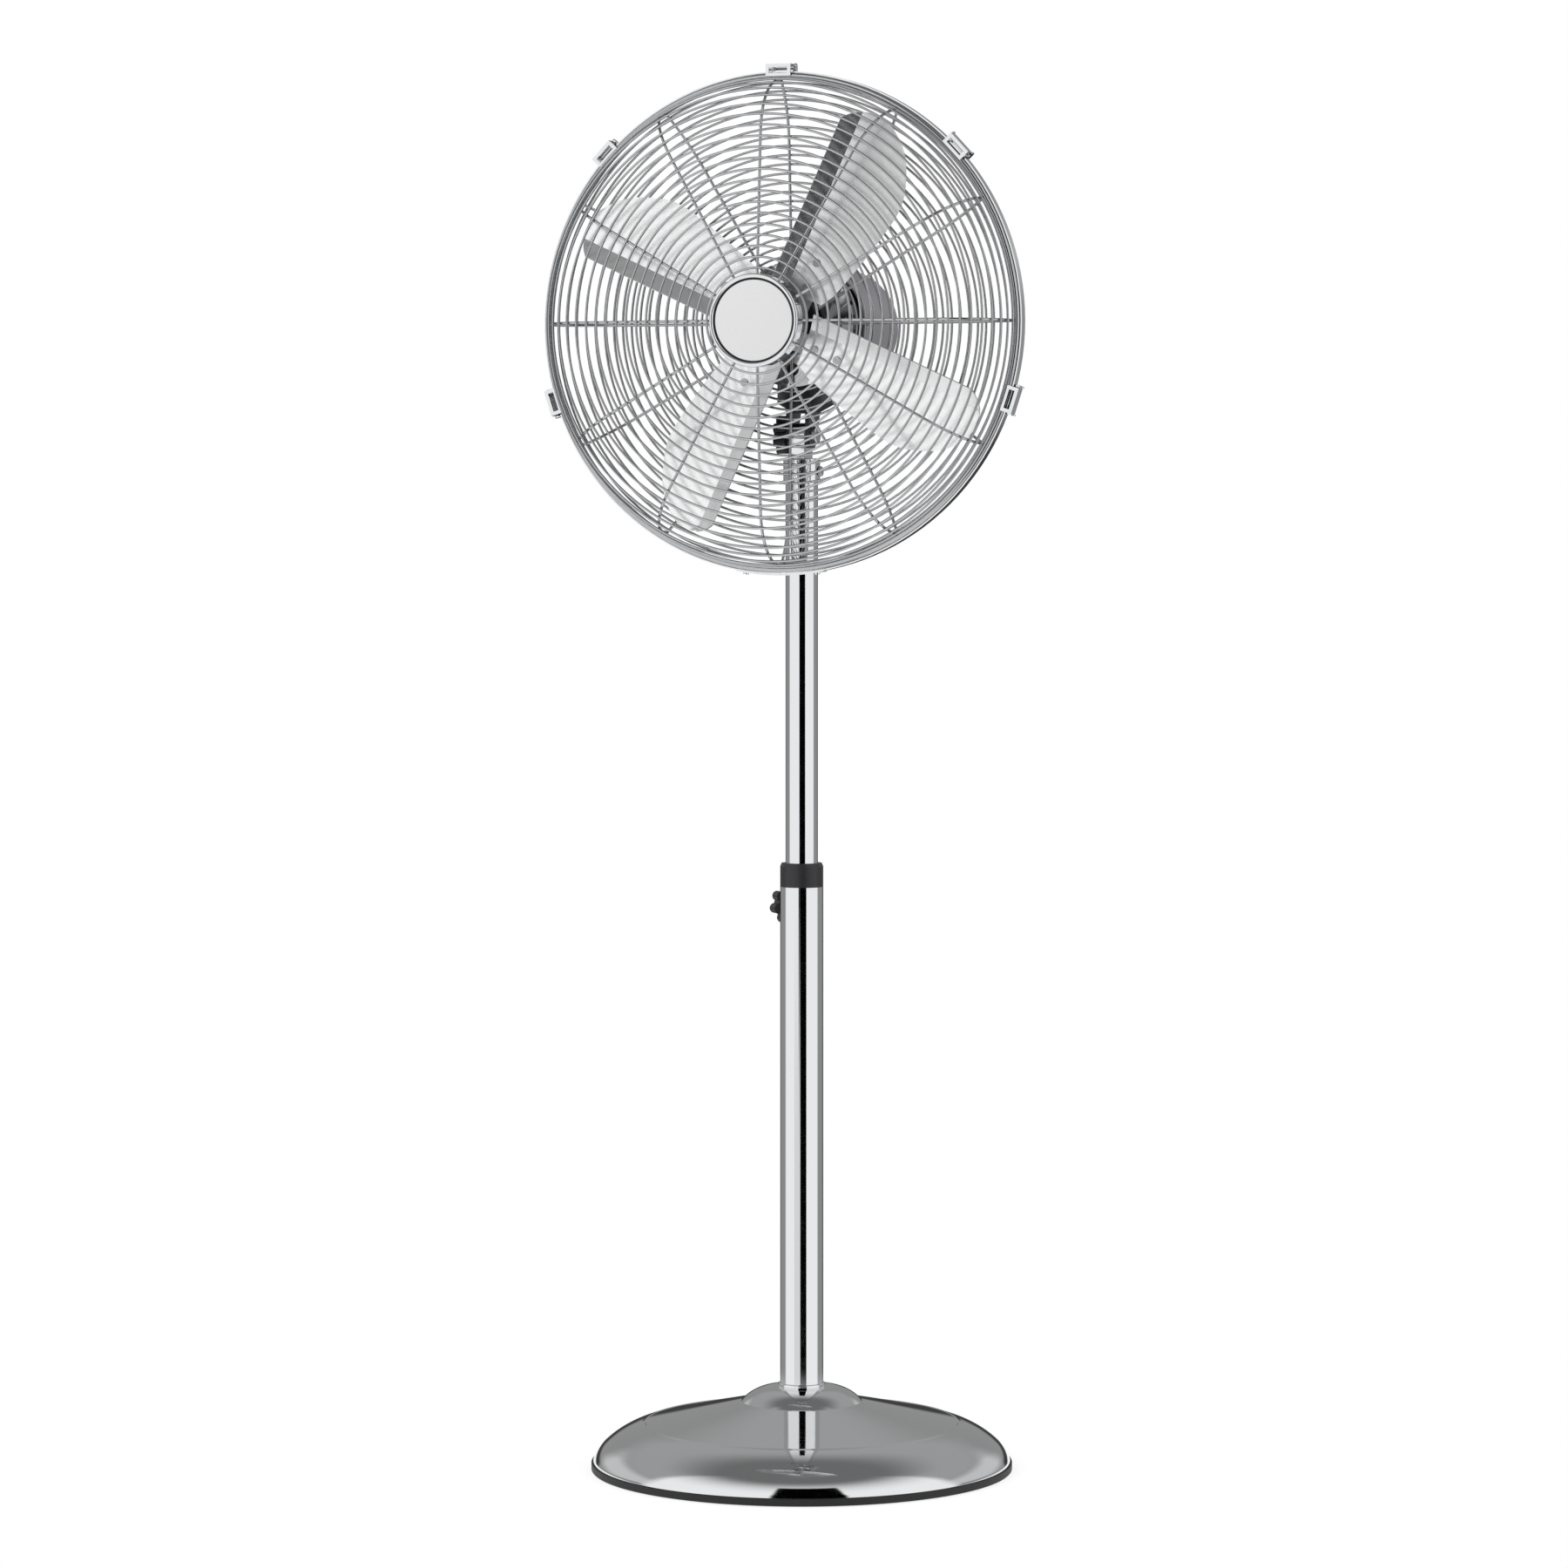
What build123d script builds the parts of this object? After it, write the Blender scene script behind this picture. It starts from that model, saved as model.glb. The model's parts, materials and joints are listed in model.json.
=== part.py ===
"""Pedestal fan: weighted round base, telescopic column, tilting and swinging head in a wire cage.

Frame: +Z up, origin on the floor under the column, the fan blows towards -Y. Millimetres.
Angles on the fan's face are seen from the front, counterclockwise from +X.
"""

from build123d import *
import math
import os

# ----------------------------------------------------------------------------- shared fits
SEAT = 0.2  # gap between pieces that sit on each other
RUN = 0.1  # radial gap of a pin or shaft in its hole
MOVE = 0.3  # gap between faces that move past each other
SKIN = 0.05  # gap between a pressed piece and its seat
PAST = 1.0  # how far a cut or a join runs past the face it starts from
EDGE_BREAK = 1.0
EDGE_ROUND = 1.5

# ----------------------------------------------------------------------------- base
BASE_RADIUS = 195.0
TRIM_WALL = 1.6
TRIM_LIP = 9.0
TRIM_HEIGHT = 7.0
TRIM_LIFT = 1.0
TRIM_BREAK = 0.5
FOOT_RADIUS = 9.0
FOOT_HEIGHT = 3.5
FOOT_INSET = 17.0  # how far a foot lies inside the trim's lip
FOOT_COUNT = 6
PLATE_SHEET = 2.0
ACCESS_RADIUS = 16.0
COVER_SHEET = 1.2
COVER_TOP = 77.0
COVER_FLAT = 26.0
CREASE_RADIUS = 56.0
CREASE_HEIGHT = 63.5
RIDGE_INSET = 49.0
RIDGE_HEIGHT = 43.5
SHOULDER_MID_INSET = 28.0
SHOULDER_MID_HEIGHT = 35.6
SHOULDER_END_INSET = 13.0
SHOULDER_END_HEIGHT = 25.5
SKIRT_HEIGHT = 9.5
WEIGHT_INSET = 45.0
WEIGHT_THICKNESS = 8.0
HUB_RADIUS = 30.0
HUB_TOP = 68.0
SOCKET_FLOOR = 26.0
BOLT_RADIUS = 4.0
BOLT_FLATS = 6.5
BOLT_HEAD = 5.0
WASHER_RADIUS = 12.0
WASHER_SHEET = 1.5

# ----------------------------------------------------------------------------- column
OUTER_TUBE_RADIUS = 20.0
OUTER_TUBE_WALL = 1.4
OUTER_TUBE_TOP = 540.0
INNER_TUBE_RADIUS = 15.0
INNER_TUBE_WALL = 1.2
INNER_TUBE_BOTTOM = 330.0
INNER_TUBE_TOP = 934.0
TUBE_NUT_HEIGHT = 15.0  # threaded block welded into the tube's foot
FOOT_RING_WIDTH = 1.8
FOOT_RING_HEIGHT = 3.5
COLLAR_HEIGHT = 22.0
COLLAR_TAPER = 1.2
COLLAR_LIP = 3.0
COLLAR_SLEEVE = 70.0
BUSH_FLANGE = 12.0
BUSH_SPIGOT = 18.0
CABLE_HOLE = 6.0

# column lock
LOCK_HEIGHT = 521.0
LOCK_DIRECTION = 130.0  # degrees from +X, seen from above
KNOB_RADIUS = 18.0
KNOB_THICKNESS = 12.0
KNOB_LOBES = 7
LOBE_RADIUS = 4.6
KNOB_STANDOFF = 4.5
STUD_RADIUS = 4.0
STUD_DEPTH = 8.0
BOSS_WALL = 3.5
BOSS_LENGTH = 3.6

# ----------------------------------------------------------------------------- neck
SOCKET_RADIUS = 17.0
SOCKET_LENGTH = 18.0
SOCKET_CAP = 3.0
SOCKET_SCREW_RADIUS = 3.0
SOCKET_SCREW_HEAD = 4.8
SOCKET_SCREW_LENGTH = 3.0
TILT_RISE = 25.0  # from the top of the inner tube to the tilt bolt
LUG_RADIUS = 11.0
LUG_WIDTH = 14.0
CHEEK_RADIUS = 12.5
CHEEK_SHEET = 4.0
TILT_BOLT_RADIUS = 4.0
TILT_HEAD_RADIUS = 8.5
TILT_HEAD_HEIGHT = 4.5
TILT_KNOB_RADIUS = 18.0
TILT_KNOB_THICKNESS = 11.0
SWIVEL_Y = 14.0
PLATFORM_RADIUS = 27.0
PLATFORM_SHEET = 12.0
BRIDGE_RISE = 20.0  # from the tilt bolt to the underside of the bridge
NECK_HEIGHT = 21.0  # from there to the top of the platform
SHIELD_WALL = 3.0
SHIELD_END = 15.0  # degrees that the shield stops short of the swivel's sides
NECK_WAIST = 11.0
NECK_SHOULDER = 3.0
POST_RADIUS = 6.0
ARM_RADIUS = 8.5
ARM_RISE = 3.0  # how far the arm climbs round the motor housing
BUSH_WALL = 3.0
BUSH_COLLAR = 11.0
BUSH_COLLAR_SHEET = 1.5

# swing linkage under the motor
ANCHOR_X = 24.0
LINK_SHEET = 3.0
LINK_WIDTH = 8.0
LINK_EYE_RADIUS = 5.0
LINK_LIFT = 3.0
LINK_PIN_RADIUS = 2.5
LINK_HEAD_RADIUS = 4.2
LINK_HEAD_HEIGHT = 2.4
CRANK_Y = 68.0
CRANK_DISC_RADIUS = 18.5
CRANK_DISC_SHEET = 4.0
CRANK_SHAFT_RADIUS = 4.0
CRANK_SHAFT_DROP = 11.0  # from the fan axis down to the shaft's top
SWING_LIMIT = 40.0  # degrees each way

# ----------------------------------------------------------------------------- motor
BELL_FRONT = -25.0
BELL_REAR = 30.0
BELL_RADIUS = 52.0
BELL_WALL = 2.5
BELL_EDGE = 3.0
BELL_VENTS = 24
VENT_WIDTH = 4.0
VENT_LENGTH = 26.0
VENT_START = -21.0
FACE_VENT_INNER = 24.0
FACE_VENT_OUTER = 44.0
BOSS_RADIUS = 14.0
BOSS_FRONT = -39.0
SHAFT_RADIUS = 4.0
SHAFT_REAR = 83.0
BEARING_RADIUS = 9.0
BEARING_LENGTH = 10.0
STATOR_INNER = 26.5
STATOR_LENGTH = 32.0
STATOR_MIDDLE = 2.0
WINDING_INNER = 29.0
WINDING_OUTER = 43.0
WINDING_LENGTH = 6.0
WINDING_ROUND = 2.0
ROTOR_RADIUS = 26.0
END_BELL_SHEET = 3.0
END_BELL_RADIUS = 50.0
WORM_RADIUS = 4.8
WORM_LENGTH = 22.0
WORM_RINGS = 7
WORM_GROOVE = 0.6
GEARBOX_HALF_LENGTH = 19.0
GEARBOX_WALL = 2.0
GEAR_CLEARANCE = 1.0
GEARBOX_DROP = 40.0
GEARBOX_RISE = 22.0
GEAR_OFFSET = 18.0
WHEEL_RADIUS = 12.5
WHEEL_TEETH = 40
WHEEL_HEIGHT = 8.0
PINION_RADIUS = 4.0
PINION_TEETH = 10
CRANK_TEETH = 35
GEAR_HEIGHT = 6.0
TOOTH_RISE = 0.5
TOOTH_DROP = 0.8
TOOTH_SHARE = 0.36  # tooth width as a share of the pitch
TOOTH_FLARE = 1.35  # how much wider a tooth is at its root than at the pitch circle
SPINDLE_RADIUS = 3.0
SPINDLE_COLLAR = 2.0
CLUTCH_ROD_RADIUS = 1.6
CLUTCH_KNOB_RADIUS = 7.5
CLUTCH_KNOB_HEIGHT = 15.0
CLUTCH_GAP = 1.2
REAR_COVER_RADIUS = 56.0
REAR_COVER_SHEET = 1.6
REAR_COVER_FRONT = 16.0
REAR_COVER_REAR = 150.0
REAR_COVER_ROUND = 34.0
LINK_SLOT_LEFT = -26.0
LINK_SLOT_RIGHT = 32.0
LINK_SLOT_REAR = 97.0
COVER_SCREW_Y = 23.0
COVER_SCREW_RADIUS = 1.8
COVER_SCREW_HEAD = 3.5
COVER_SCREW_HEAD_HEIGHT = 2.0
COVER_SCREW_ANGLES = (0.0, 90.0, 180.0)
GROMMET_Y = 108.0
GROMMET_RADIUS = 5.0
GROMMET_FLANGE = 7.0
GROMMET_BORE = 3.5
GROMMET_LIP = 1.5
GROMMET_LENGTH = 5.6
SWITCH_DROP = 8.0
SWITCH_RADIUS = 13.0
SWITCH_LENGTH = 16.0
SWITCH_NECK_RADIUS = 4.8
SPEED_SHAFT_RADIUS = 3.0
SPEED_KNOB_RADIUS = 13.0
SPEED_KNOB_LENGTH = 13.0
SPEED_GRIP = (5.0, 23.0, 8.0)
CAPACITOR_SIZE = (30.0, 20.0, 12.0)
CAPACITOR_X = -5.0

# ----------------------------------------------------------------------------- cage
RIM_WIRE_CIRCLE = 226.0
FRONT_RIM_WIRE = 3.0
REAR_RIM_WIRE = 2.5
FRONT_RIM_Y = -65.0
SPOKE_WIRE = 1.3
RING_WIRE = 1.1
SPOKES = 12
FRONT_RINGS = 21
REAR_RINGS = 20
FRONT_FACE_Y = -128.0
FRONT_SHOULDER_INSET = 54.0
FRONT_SHOULDER_Y = -119.0
REAR_FACE_Y = -28.2
REAR_SHOULDER_INSET = 61.0
REAR_SHOULDER_Y = -36.5
REAR_SPOKE_START = 24.0
REAR_PLATE_RADIUS = 58.0
REAR_PLATE_SHEET = 1.5
REAR_PLATE_HOLES = 8
REAR_PLATE_HOLE_RADIUS = 6.0
REAR_PLATE_HOLE_CIRCLE = 42.0
BAND_SHEET = 1.2
BAND_FRONT = -64.0
BAND_REAR = -53.0
BAND_LIP = 5.4
BAND_GAP = 5.0
JOINER_HALF_ANGLE = 10.5
JOINER_SCREW_ANGLE = 8.5
JOINER_SCREW_RADIUS = 2.6
JOINER_SCREW_HEIGHT = 1.6
BADGE_RADIUS = 38.0
BADGE_SHEET = 1.5
BADGE_ROUND = 0.6
BADGE_FACE = -139.0
BEZEL_WIDTH = 4.5
BEZEL_FRONT = -141.0
BEZEL_REAR = -126.0
BEZEL_PLATE = 1.5
GRILLE_NUT_RADIUS = 28.0
GRILLE_NUT_LENGTH = 8.0
CLIP_ANGLES = (90.0, 43.0, -18.0, 137.0, 198.0)
CLIP_WIDTH = 24.0
CLIP_FRAME = 3.2
CLIP_SHEET = 1.2
CLIP_PIN_Y = -57.0
CLIP_PIN_RISE = 2.9
CLIP_PIN_RADIUS = 1.3
CLIP_EYE_WALL = 1.2
CLIP_HOOK_DROP = 8.5
EAR_SHEET = 1.6
EAR_HALF_LENGTH = 3.5
BRACKET_SHEET = 1.0

# ----------------------------------------------------------------------------- blades
BLADE_COUNT = 4
BLADE_ANGLE = 65.3  # direction of the first blade's trailing edge
BLADE_OFFSET = 21.0  # how far that edge lies counterclockwise of the fan axis
BLADE_SHEET = 1.2
BLADE_FRONT = -74.6
STRIP_WIDTH = 17.0
STRIP_PITCH = 34.0
FACE_PITCH = 12.0
FACE_WIDTH = 70.0
BLADE_GAP = 17.0  # from the blade's tip to the rim wire's middle
BLADE_ROOT = 30.0
BLADE_SPARE = 3.0  # how far the trimmed outline runs past the folded sheet
BLADE_CORNER_DROP = 14.0
BLADE_CROWN = -20.0
BLADE_ROOT_EDGE = -49.0
BLADE_ROOT_RUN = (-1.0, 0.6)
# The leading edge: each point is given from the tip inwards, and across from the trailing edge.
BLADE_EDGE = ((4.5, -45.0), (15.0, -58.0), (31.0, -69.0), (63.0, -79.0), (97.0, -75.0), (164.0, -57.0))
SPIDER_RADIUS = 22.0
SPIDER_SETBACK = 0.6  # from the blades' trailing edge back to the spider
SHAFT_REACH = 6.0  # how far the shaft stands out of the spider
SPIDER_LENGTH = 20.0
SPIDER_SHEET = 2.0
SPIDER_ARM_START = 12.0
SPIDER_ARM_END = 78.0
SPIDER_ARM_WIDTH = 20.0
RIVET_RADII = (40.0, 64.0)
RIVET_OFFSET = -30.0
RIVET_RADIUS = 2.0
RIVET_HEAD = 3.8
RIVET_HEAD_HEIGHT = 1.4
RIVET_REACH = 5.0
SPINNER_RADIUS = 17.0
SPINNER_LENGTH = 14.0
SPINNER_ROUND = 4.0

# ----------------------------------------------------------------------------- derived heights and radii
FOOT_CIRCLE = BASE_RADIUS - TRIM_LIP - FOOT_INSET - FOOT_RADIUS
WEIGHT_RADIUS = BASE_RADIUS - WEIGHT_INSET
PLATE_BOTTOM = FOOT_HEIGHT
PLATE_TOP = PLATE_BOTTOM + PLATE_SHEET
COVER_EDGE_RADIUS = BASE_RADIUS - TRIM_WALL - SEAT
WEIGHT_BOTTOM = PLATE_TOP + SEAT
HUB_BOTTOM = WEIGHT_BOTTOM + WEIGHT_THICKNESS + SEAT
WASHER_BOTTOM = HUB_BOTTOM - SKIN - WASHER_SHEET
BOLT_HEAD_TOP = WASHER_BOTTOM - SKIN
TUBE_NUT_TOP = SOCKET_FLOOR + TUBE_NUT_HEIGHT
OUTER_BORE = OUTER_TUBE_RADIUS - OUTER_TUBE_WALL
INNER_BORE = INNER_TUBE_RADIUS - INNER_TUBE_WALL
KNOB_NEAR = OUTER_TUBE_RADIUS + KNOB_STANDOFF
CHEEK_NEAR = LUG_WIDTH / 2 + MOVE
CHEEK_FAR = CHEEK_NEAR + CHEEK_SHEET
TILT_HEIGHT = INNER_TUBE_TOP + TILT_RISE
NECK_BRIDGE_BOTTOM = TILT_HEIGHT + BRIDGE_RISE
PLATFORM_TOP = NECK_BRIDGE_BOTTOM + NECK_HEIGHT
LINK_BOTTOM = PLATFORM_TOP + LINK_LIFT
LINK_TOP = LINK_BOTTOM + LINK_SHEET
CRANK_PIN_BOTTOM = LINK_TOP + MOVE
BELL_BOTTOM = LINK_TOP + MOVE + LINK_HEAD_HEIGHT + MOVE
FAN_HEIGHT = BELL_BOTTOM + BELL_RADIUS
CRANK_SHAFT_TOP = FAN_HEIGHT - CRANK_SHAFT_DROP
GEARBOX_FLOOR = FAN_HEIGHT - GEARBOX_DROP
GEARBOX_TOP = FAN_HEIGHT + GEARBOX_RISE
BEARING_FRONT = BOSS_FRONT + 2.0
WORM_START = CRANK_Y - WORM_LENGTH / 2
GEARBOX_FRONT = CRANK_Y - GEARBOX_HALF_LENGTH
GEARBOX_REAR = CRANK_Y + GEARBOX_HALF_LENGTH
CRANK_GEAR_RADIUS = GEAR_OFFSET - PINION_RADIUS
GEAR_BOTTOM = GEARBOX_FLOOR + GEARBOX_WALL + GEAR_CLEARANCE
END_BELL_FRONT = BELL_REAR + SEAT
END_BELL_REAR = END_BELL_FRONT + END_BELL_SHEET
REAR_RIM_Y = FRONT_RIM_Y + FRONT_RIM_WIRE + SEAT + REAR_RIM_WIRE
SPOKE_RIM_RADIUS = RIM_WIRE_CIRCLE - FRONT_RIM_WIRE - SPOKE_WIRE - SKIN
REAR_SPOKE_RIM_RADIUS = RIM_WIRE_CIRCLE - REAR_RIM_WIRE - SPOKE_WIRE - SKIN
FRONT_SHOULDER_RADIUS = RIM_WIRE_CIRCLE - FRONT_SHOULDER_INSET
REAR_SHOULDER_RADIUS = RIM_WIRE_CIRCLE - REAR_SHOULDER_INSET
BLADE_TIP = RIM_WIRE_CIRCLE - BLADE_GAP
SPIDER_FRONT = BLADE_FRONT + SPIDER_SETBACK
SHAFT_FRONT = SPIDER_FRONT - SHAFT_REACH
BAND_INNER = RIM_WIRE_CIRCLE + FRONT_RIM_WIRE + 2 * SEAT
BAND_OUTER = BAND_INNER + BAND_SHEET
BEZEL_RADIUS = BADGE_RADIUS + BEZEL_WIDTH
PLATE_FRONT_Y = BELL_FRONT - SEAT - REAR_PLATE_SHEET
FACE_DROP = STRIP_WIDTH * math.sin(math.radians(STRIP_PITCH))
FOLD_OFFSET = -STRIP_WIDTH * math.cos(math.radians(STRIP_PITCH))

# swing linkage: a four-bar whose crank turns half round between the swing's two ends
CRANK_ARM = CRANK_Y - SWIVEL_Y


def anchor_distance(swing):
    """Distance from the crank's centre to the fixed link pin at a swing angle."""
    angle = math.radians(90 + swing)
    return math.sqrt(CRANK_ARM**2 + ANCHOR_X**2 - 2 * CRANK_ARM * ANCHOR_X * math.cos(angle))


LINK_LENGTH = (anchor_distance(SWING_LIMIT) + anchor_distance(-SWING_LIMIT)) / 2
CRANK_THROW = (anchor_distance(SWING_LIMIT) - anchor_distance(-SWING_LIMIT)) / 2
CRANK_CORNER = math.acos(
    (CRANK_THROW**2 + anchor_distance(0) ** 2 - LINK_LENGTH**2) / (2 * CRANK_THROW * anchor_distance(0))
)
CRANK_ANGLE = math.atan2(-CRANK_ARM, ANCHOR_X) + CRANK_CORNER
CRANK_PIN = (CRANK_THROW * math.cos(CRANK_ANGLE), CRANK_Y + CRANK_THROW * math.sin(CRANK_ANGLE))
LINK_ANGLE = math.degrees(math.atan2(CRANK_PIN[1] - SWIVEL_Y, CRANK_PIN[0] - ANCHOR_X))

# ----------------------------------------------------------------------------- axes, planes and helpers
fan_axis = Axis((0, 0, FAN_HEIGHT), (0, 1, 0))
axial = Plane.XY.offset(FAN_HEIGHT)  # x is the distance from the fan axis, y is the fan's Y
lock_plane = Plane(
    origin=(0, 0, LOCK_HEIGHT),
    x_dir=(0, 0, 1),
    z_dir=(math.cos(math.radians(LOCK_DIRECTION)), math.sin(math.radians(LOCK_DIRECTION)), 0),
)
tilt_plane = Plane(origin=(0, 0, TILT_HEIGHT), x_dir=(0, 1, 0), z_dir=(1, 0, 0))


def facing(y):
    """Plane square to the fan axis at y, seen from the front."""
    return Plane(origin=(0, y, FAN_HEIGHT), x_dir=(1, 0, 0), z_dir=(0, -1, 0))


def level(z, x=0.0, y=0.0):
    """Horizontal plane at height z with its origin over (x, y)."""
    return Plane(origin=(x, y, z), x_dir=(1, 0, 0), z_dir=(0, 0, 1))


def disc(plane, radius, length, bore=0.0, mode=Mode.ADD):
    """Add a disc or a tube to the part that is being made, or cut it away."""
    with BuildSketch(plane) as section:
        Circle(radius)
        if bore > 0:
            Circle(bore, mode=Mode.SUBTRACT)
    extrude(section.sketch, amount=length, mode=mode)


def lobed_knob(plane, radius, thickness, bore):
    """Add a star knob whose back lies on the plane, with a blind hole for its stud."""
    with BuildSketch(plane) as section:
        Circle(radius - LOBE_RADIUS)
        with PolarLocations(radius - LOBE_RADIUS, KNOB_LOBES):
            Circle(LOBE_RADIUS)
    extrude(section.sketch, amount=thickness)
    disc(plane.offset(thickness), radius / 2, EDGE_BREAK)
    disc(plane, bore, STUD_DEPTH + SEAT, mode=Mode.SUBTRACT)


def gear(plane, pitch_radius, teeth, height, phase=0.0):
    """Add a spur gear; a tooth points along the plane's x when the phase is 0."""
    root = pitch_radius - TOOTH_DROP
    tip = pitch_radius + TOOTH_RISE
    half = math.pi * pitch_radius / teeth * TOOTH_SHARE
    with BuildSketch(plane) as section:
        Circle(root)
        with PolarLocations(0, teeth, start_angle=phase):
            Polygon(
                (root - TOOTH_RISE, -half * TOOTH_FLARE),
                (tip, -half / TOOTH_FLARE),
                (tip, half / TOOTH_FLARE),
                (root - TOOTH_RISE, half * TOOTH_FLARE),
                align=None,
            )
    extrude(section.sketch, amount=height)


def save(part, name):
    """Label a finished part and write it as one STEP file."""
    part.label = name
    export_step(part, f"parts/{name}.step")


os.makedirs("parts", exist_ok=True)

# ============================================================================= base
with BuildPart() as base_feet:
    with BuildSketch(Plane.XY) as section:
        with PolarLocations(FOOT_CIRCLE, FOOT_COUNT):
            Circle(FOOT_RADIUS)
    extrude(amount=FOOT_HEIGHT - SKIN)
save(base_feet.part, "base_feet")

with BuildPart() as base_plate:
    disc(level(PLATE_BOTTOM), COVER_EDGE_RADIUS, PLATE_SHEET, bore=ACCESS_RADIUS)
save(base_plate.part, "base_plate")

with BuildPart() as base_trim:
    lip_height = PLATE_BOTTOM - SKIN - TRIM_LIFT
    with BuildSketch(Plane.XZ) as section:
        with Locations((BASE_RADIUS, TRIM_LIFT)):
            Rectangle(TRIM_LIP, lip_height, align=(Align.MAX, Align.MIN))
            Rectangle(TRIM_WALL, TRIM_HEIGHT, align=(Align.MAX, Align.MIN))
    revolve(axis=Axis.Z)
    chamfer(base_trim.edges().filter_by(GeomType.CIRCLE).sort_by(SortBy.RADIUS)[-2:], TRIM_BREAK)
save(base_trim.part, "base_trim")

with BuildPart() as base_weight:
    disc(level(WEIGHT_BOTTOM), WEIGHT_RADIUS, WEIGHT_THICKNESS, bore=ACCESS_RADIUS)
save(base_weight.part, "base_weight")

with BuildPart() as base_hub:
    disc(level(HUB_BOTTOM), HUB_RADIUS, HUB_TOP - HUB_BOTTOM, bore=BOLT_RADIUS + MOVE)
    disc(level(SOCKET_FLOOR), OUTER_TUBE_RADIUS + RUN, HUB_TOP - SOCKET_FLOOR, mode=Mode.SUBTRACT)
save(base_hub.part, "base_hub")

with BuildPart() as base_bolt:
    with BuildSketch(level(BOLT_HEAD_TOP - BOLT_HEAD)) as section:
        RegularPolygon(BOLT_FLATS, 6, major_radius=False)
    extrude(amount=BOLT_HEAD)
    disc(level(BOLT_HEAD_TOP), BOLT_RADIUS, TUBE_NUT_TOP - BOLT_HEAD_TOP)
    disc(level(WASHER_BOTTOM), WASHER_RADIUS, WASHER_SHEET, bore=BOLT_RADIUS + RUN)
save(base_bolt.part, "base_bolt")

with BuildPart() as base_cover:
    with BuildSketch(Plane.XZ) as section:
        with BuildLine() as outline:
            top = Line((OUTER_TUBE_RADIUS + MOVE, COVER_TOP), (COVER_FLAT, COVER_TOP))
            dome = TangentArc(top @ 1, (CREASE_RADIUS, CREASE_HEIGHT), tangent=(1, 0))
            cone = Line(dome @ 1, (BASE_RADIUS - RIDGE_INSET, RIDGE_HEIGHT))
            shoulder_mid = (BASE_RADIUS - SHOULDER_MID_INSET, SHOULDER_MID_HEIGHT)
            shoulder_end = (BASE_RADIUS - SHOULDER_END_INSET, SHOULDER_END_HEIGHT)
            shoulder = ThreePointArc(cone @ 1, shoulder_mid, shoulder_end)
            skirt = TangentArc(shoulder @ 1, (COVER_EDGE_RADIUS, SKIRT_HEIGHT), tangent=shoulder % 1)
            Line(skirt @ 1, (COVER_EDGE_RADIUS, PLATE_TOP + SKIN))
            offset(amount=COVER_SHEET, side=Side.RIGHT)
        make_face()
    revolve(axis=Axis.Z)
save(base_cover.part, "base_cover")

# ============================================================================= column
with BuildPart() as outer_tube:
    disc(level(SOCKET_FLOOR), OUTER_TUBE_RADIUS, OUTER_TUBE_TOP - SOCKET_FLOOR)
    disc(lock_plane, STUD_RADIUS + BOSS_WALL, OUTER_TUBE_RADIUS + BOSS_LENGTH)
    disc(level(TUBE_NUT_TOP), OUTER_BORE, OUTER_TUBE_TOP - TUBE_NUT_TOP, mode=Mode.SUBTRACT)
    disc(level(SOCKET_FLOOR), BOLT_RADIUS + SKIN, TUBE_NUT_HEIGHT, mode=Mode.SUBTRACT)
    disc(lock_plane, STUD_RADIUS + RUN, KNOB_NEAR, mode=Mode.SUBTRACT)
save(outer_tube.part, "outer_tube")

with BuildPart() as foot_ring:
    disc(level(COVER_TOP + SKIN), OUTER_TUBE_RADIUS + FOOT_RING_WIDTH, FOOT_RING_HEIGHT)
    fillet(foot_ring.edges().group_by(Axis.Z)[-1], FOOT_RING_HEIGHT * 0.4)
    disc(level(COVER_TOP), OUTER_TUBE_RADIUS + SKIN, FOOT_RING_HEIGHT + PAST, mode=Mode.SUBTRACT)
save(foot_ring.part, "foot_ring")

with BuildPart() as height_collar:
    with BuildSketch(Plane.XZ) as section:
        with BuildLine():
            Polyline(
                (INNER_TUBE_RADIUS + RUN, OUTER_TUBE_TOP - COLLAR_SLEEVE),
                (OUTER_BORE - SKIN, OUTER_TUBE_TOP - COLLAR_SLEEVE),
                (OUTER_BORE - SKIN, OUTER_TUBE_TOP + SKIN),
                (OUTER_TUBE_RADIUS, OUTER_TUBE_TOP + SKIN),
                (OUTER_TUBE_RADIUS, OUTER_TUBE_TOP + COLLAR_HEIGHT - COLLAR_LIP),
                (OUTER_TUBE_RADIUS - COLLAR_TAPER, OUTER_TUBE_TOP + COLLAR_HEIGHT),
                (INNER_TUBE_RADIUS + RUN, OUTER_TUBE_TOP + COLLAR_HEIGHT),
                close=True,
            )
        make_face()
    revolve(axis=Axis.Z)
    disc(lock_plane, STUD_RADIUS + MOVE, KNOB_NEAR, mode=Mode.SUBTRACT)
save(height_collar.part, "height_collar")

with BuildPart() as lock_stud:
    stud_start = INNER_TUBE_RADIUS + MOVE
    disc(lock_plane.offset(stud_start), STUD_RADIUS, KNOB_NEAR + STUD_DEPTH - stud_start)
save(lock_stud.part, "lock_stud")

with BuildPart() as lock_knob:
    lobed_knob(lock_plane.offset(KNOB_NEAR), KNOB_RADIUS, KNOB_THICKNESS, STUD_RADIUS + SKIN)
save(lock_knob.part, "lock_knob")

# ============================================================================= mast
with BuildPart() as inner_tube:
    disc(level(INNER_TUBE_BOTTOM), INNER_TUBE_RADIUS, INNER_TUBE_TOP - INNER_TUBE_BOTTOM, bore=INNER_BORE)
save(inner_tube.part, "inner_tube")

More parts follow.
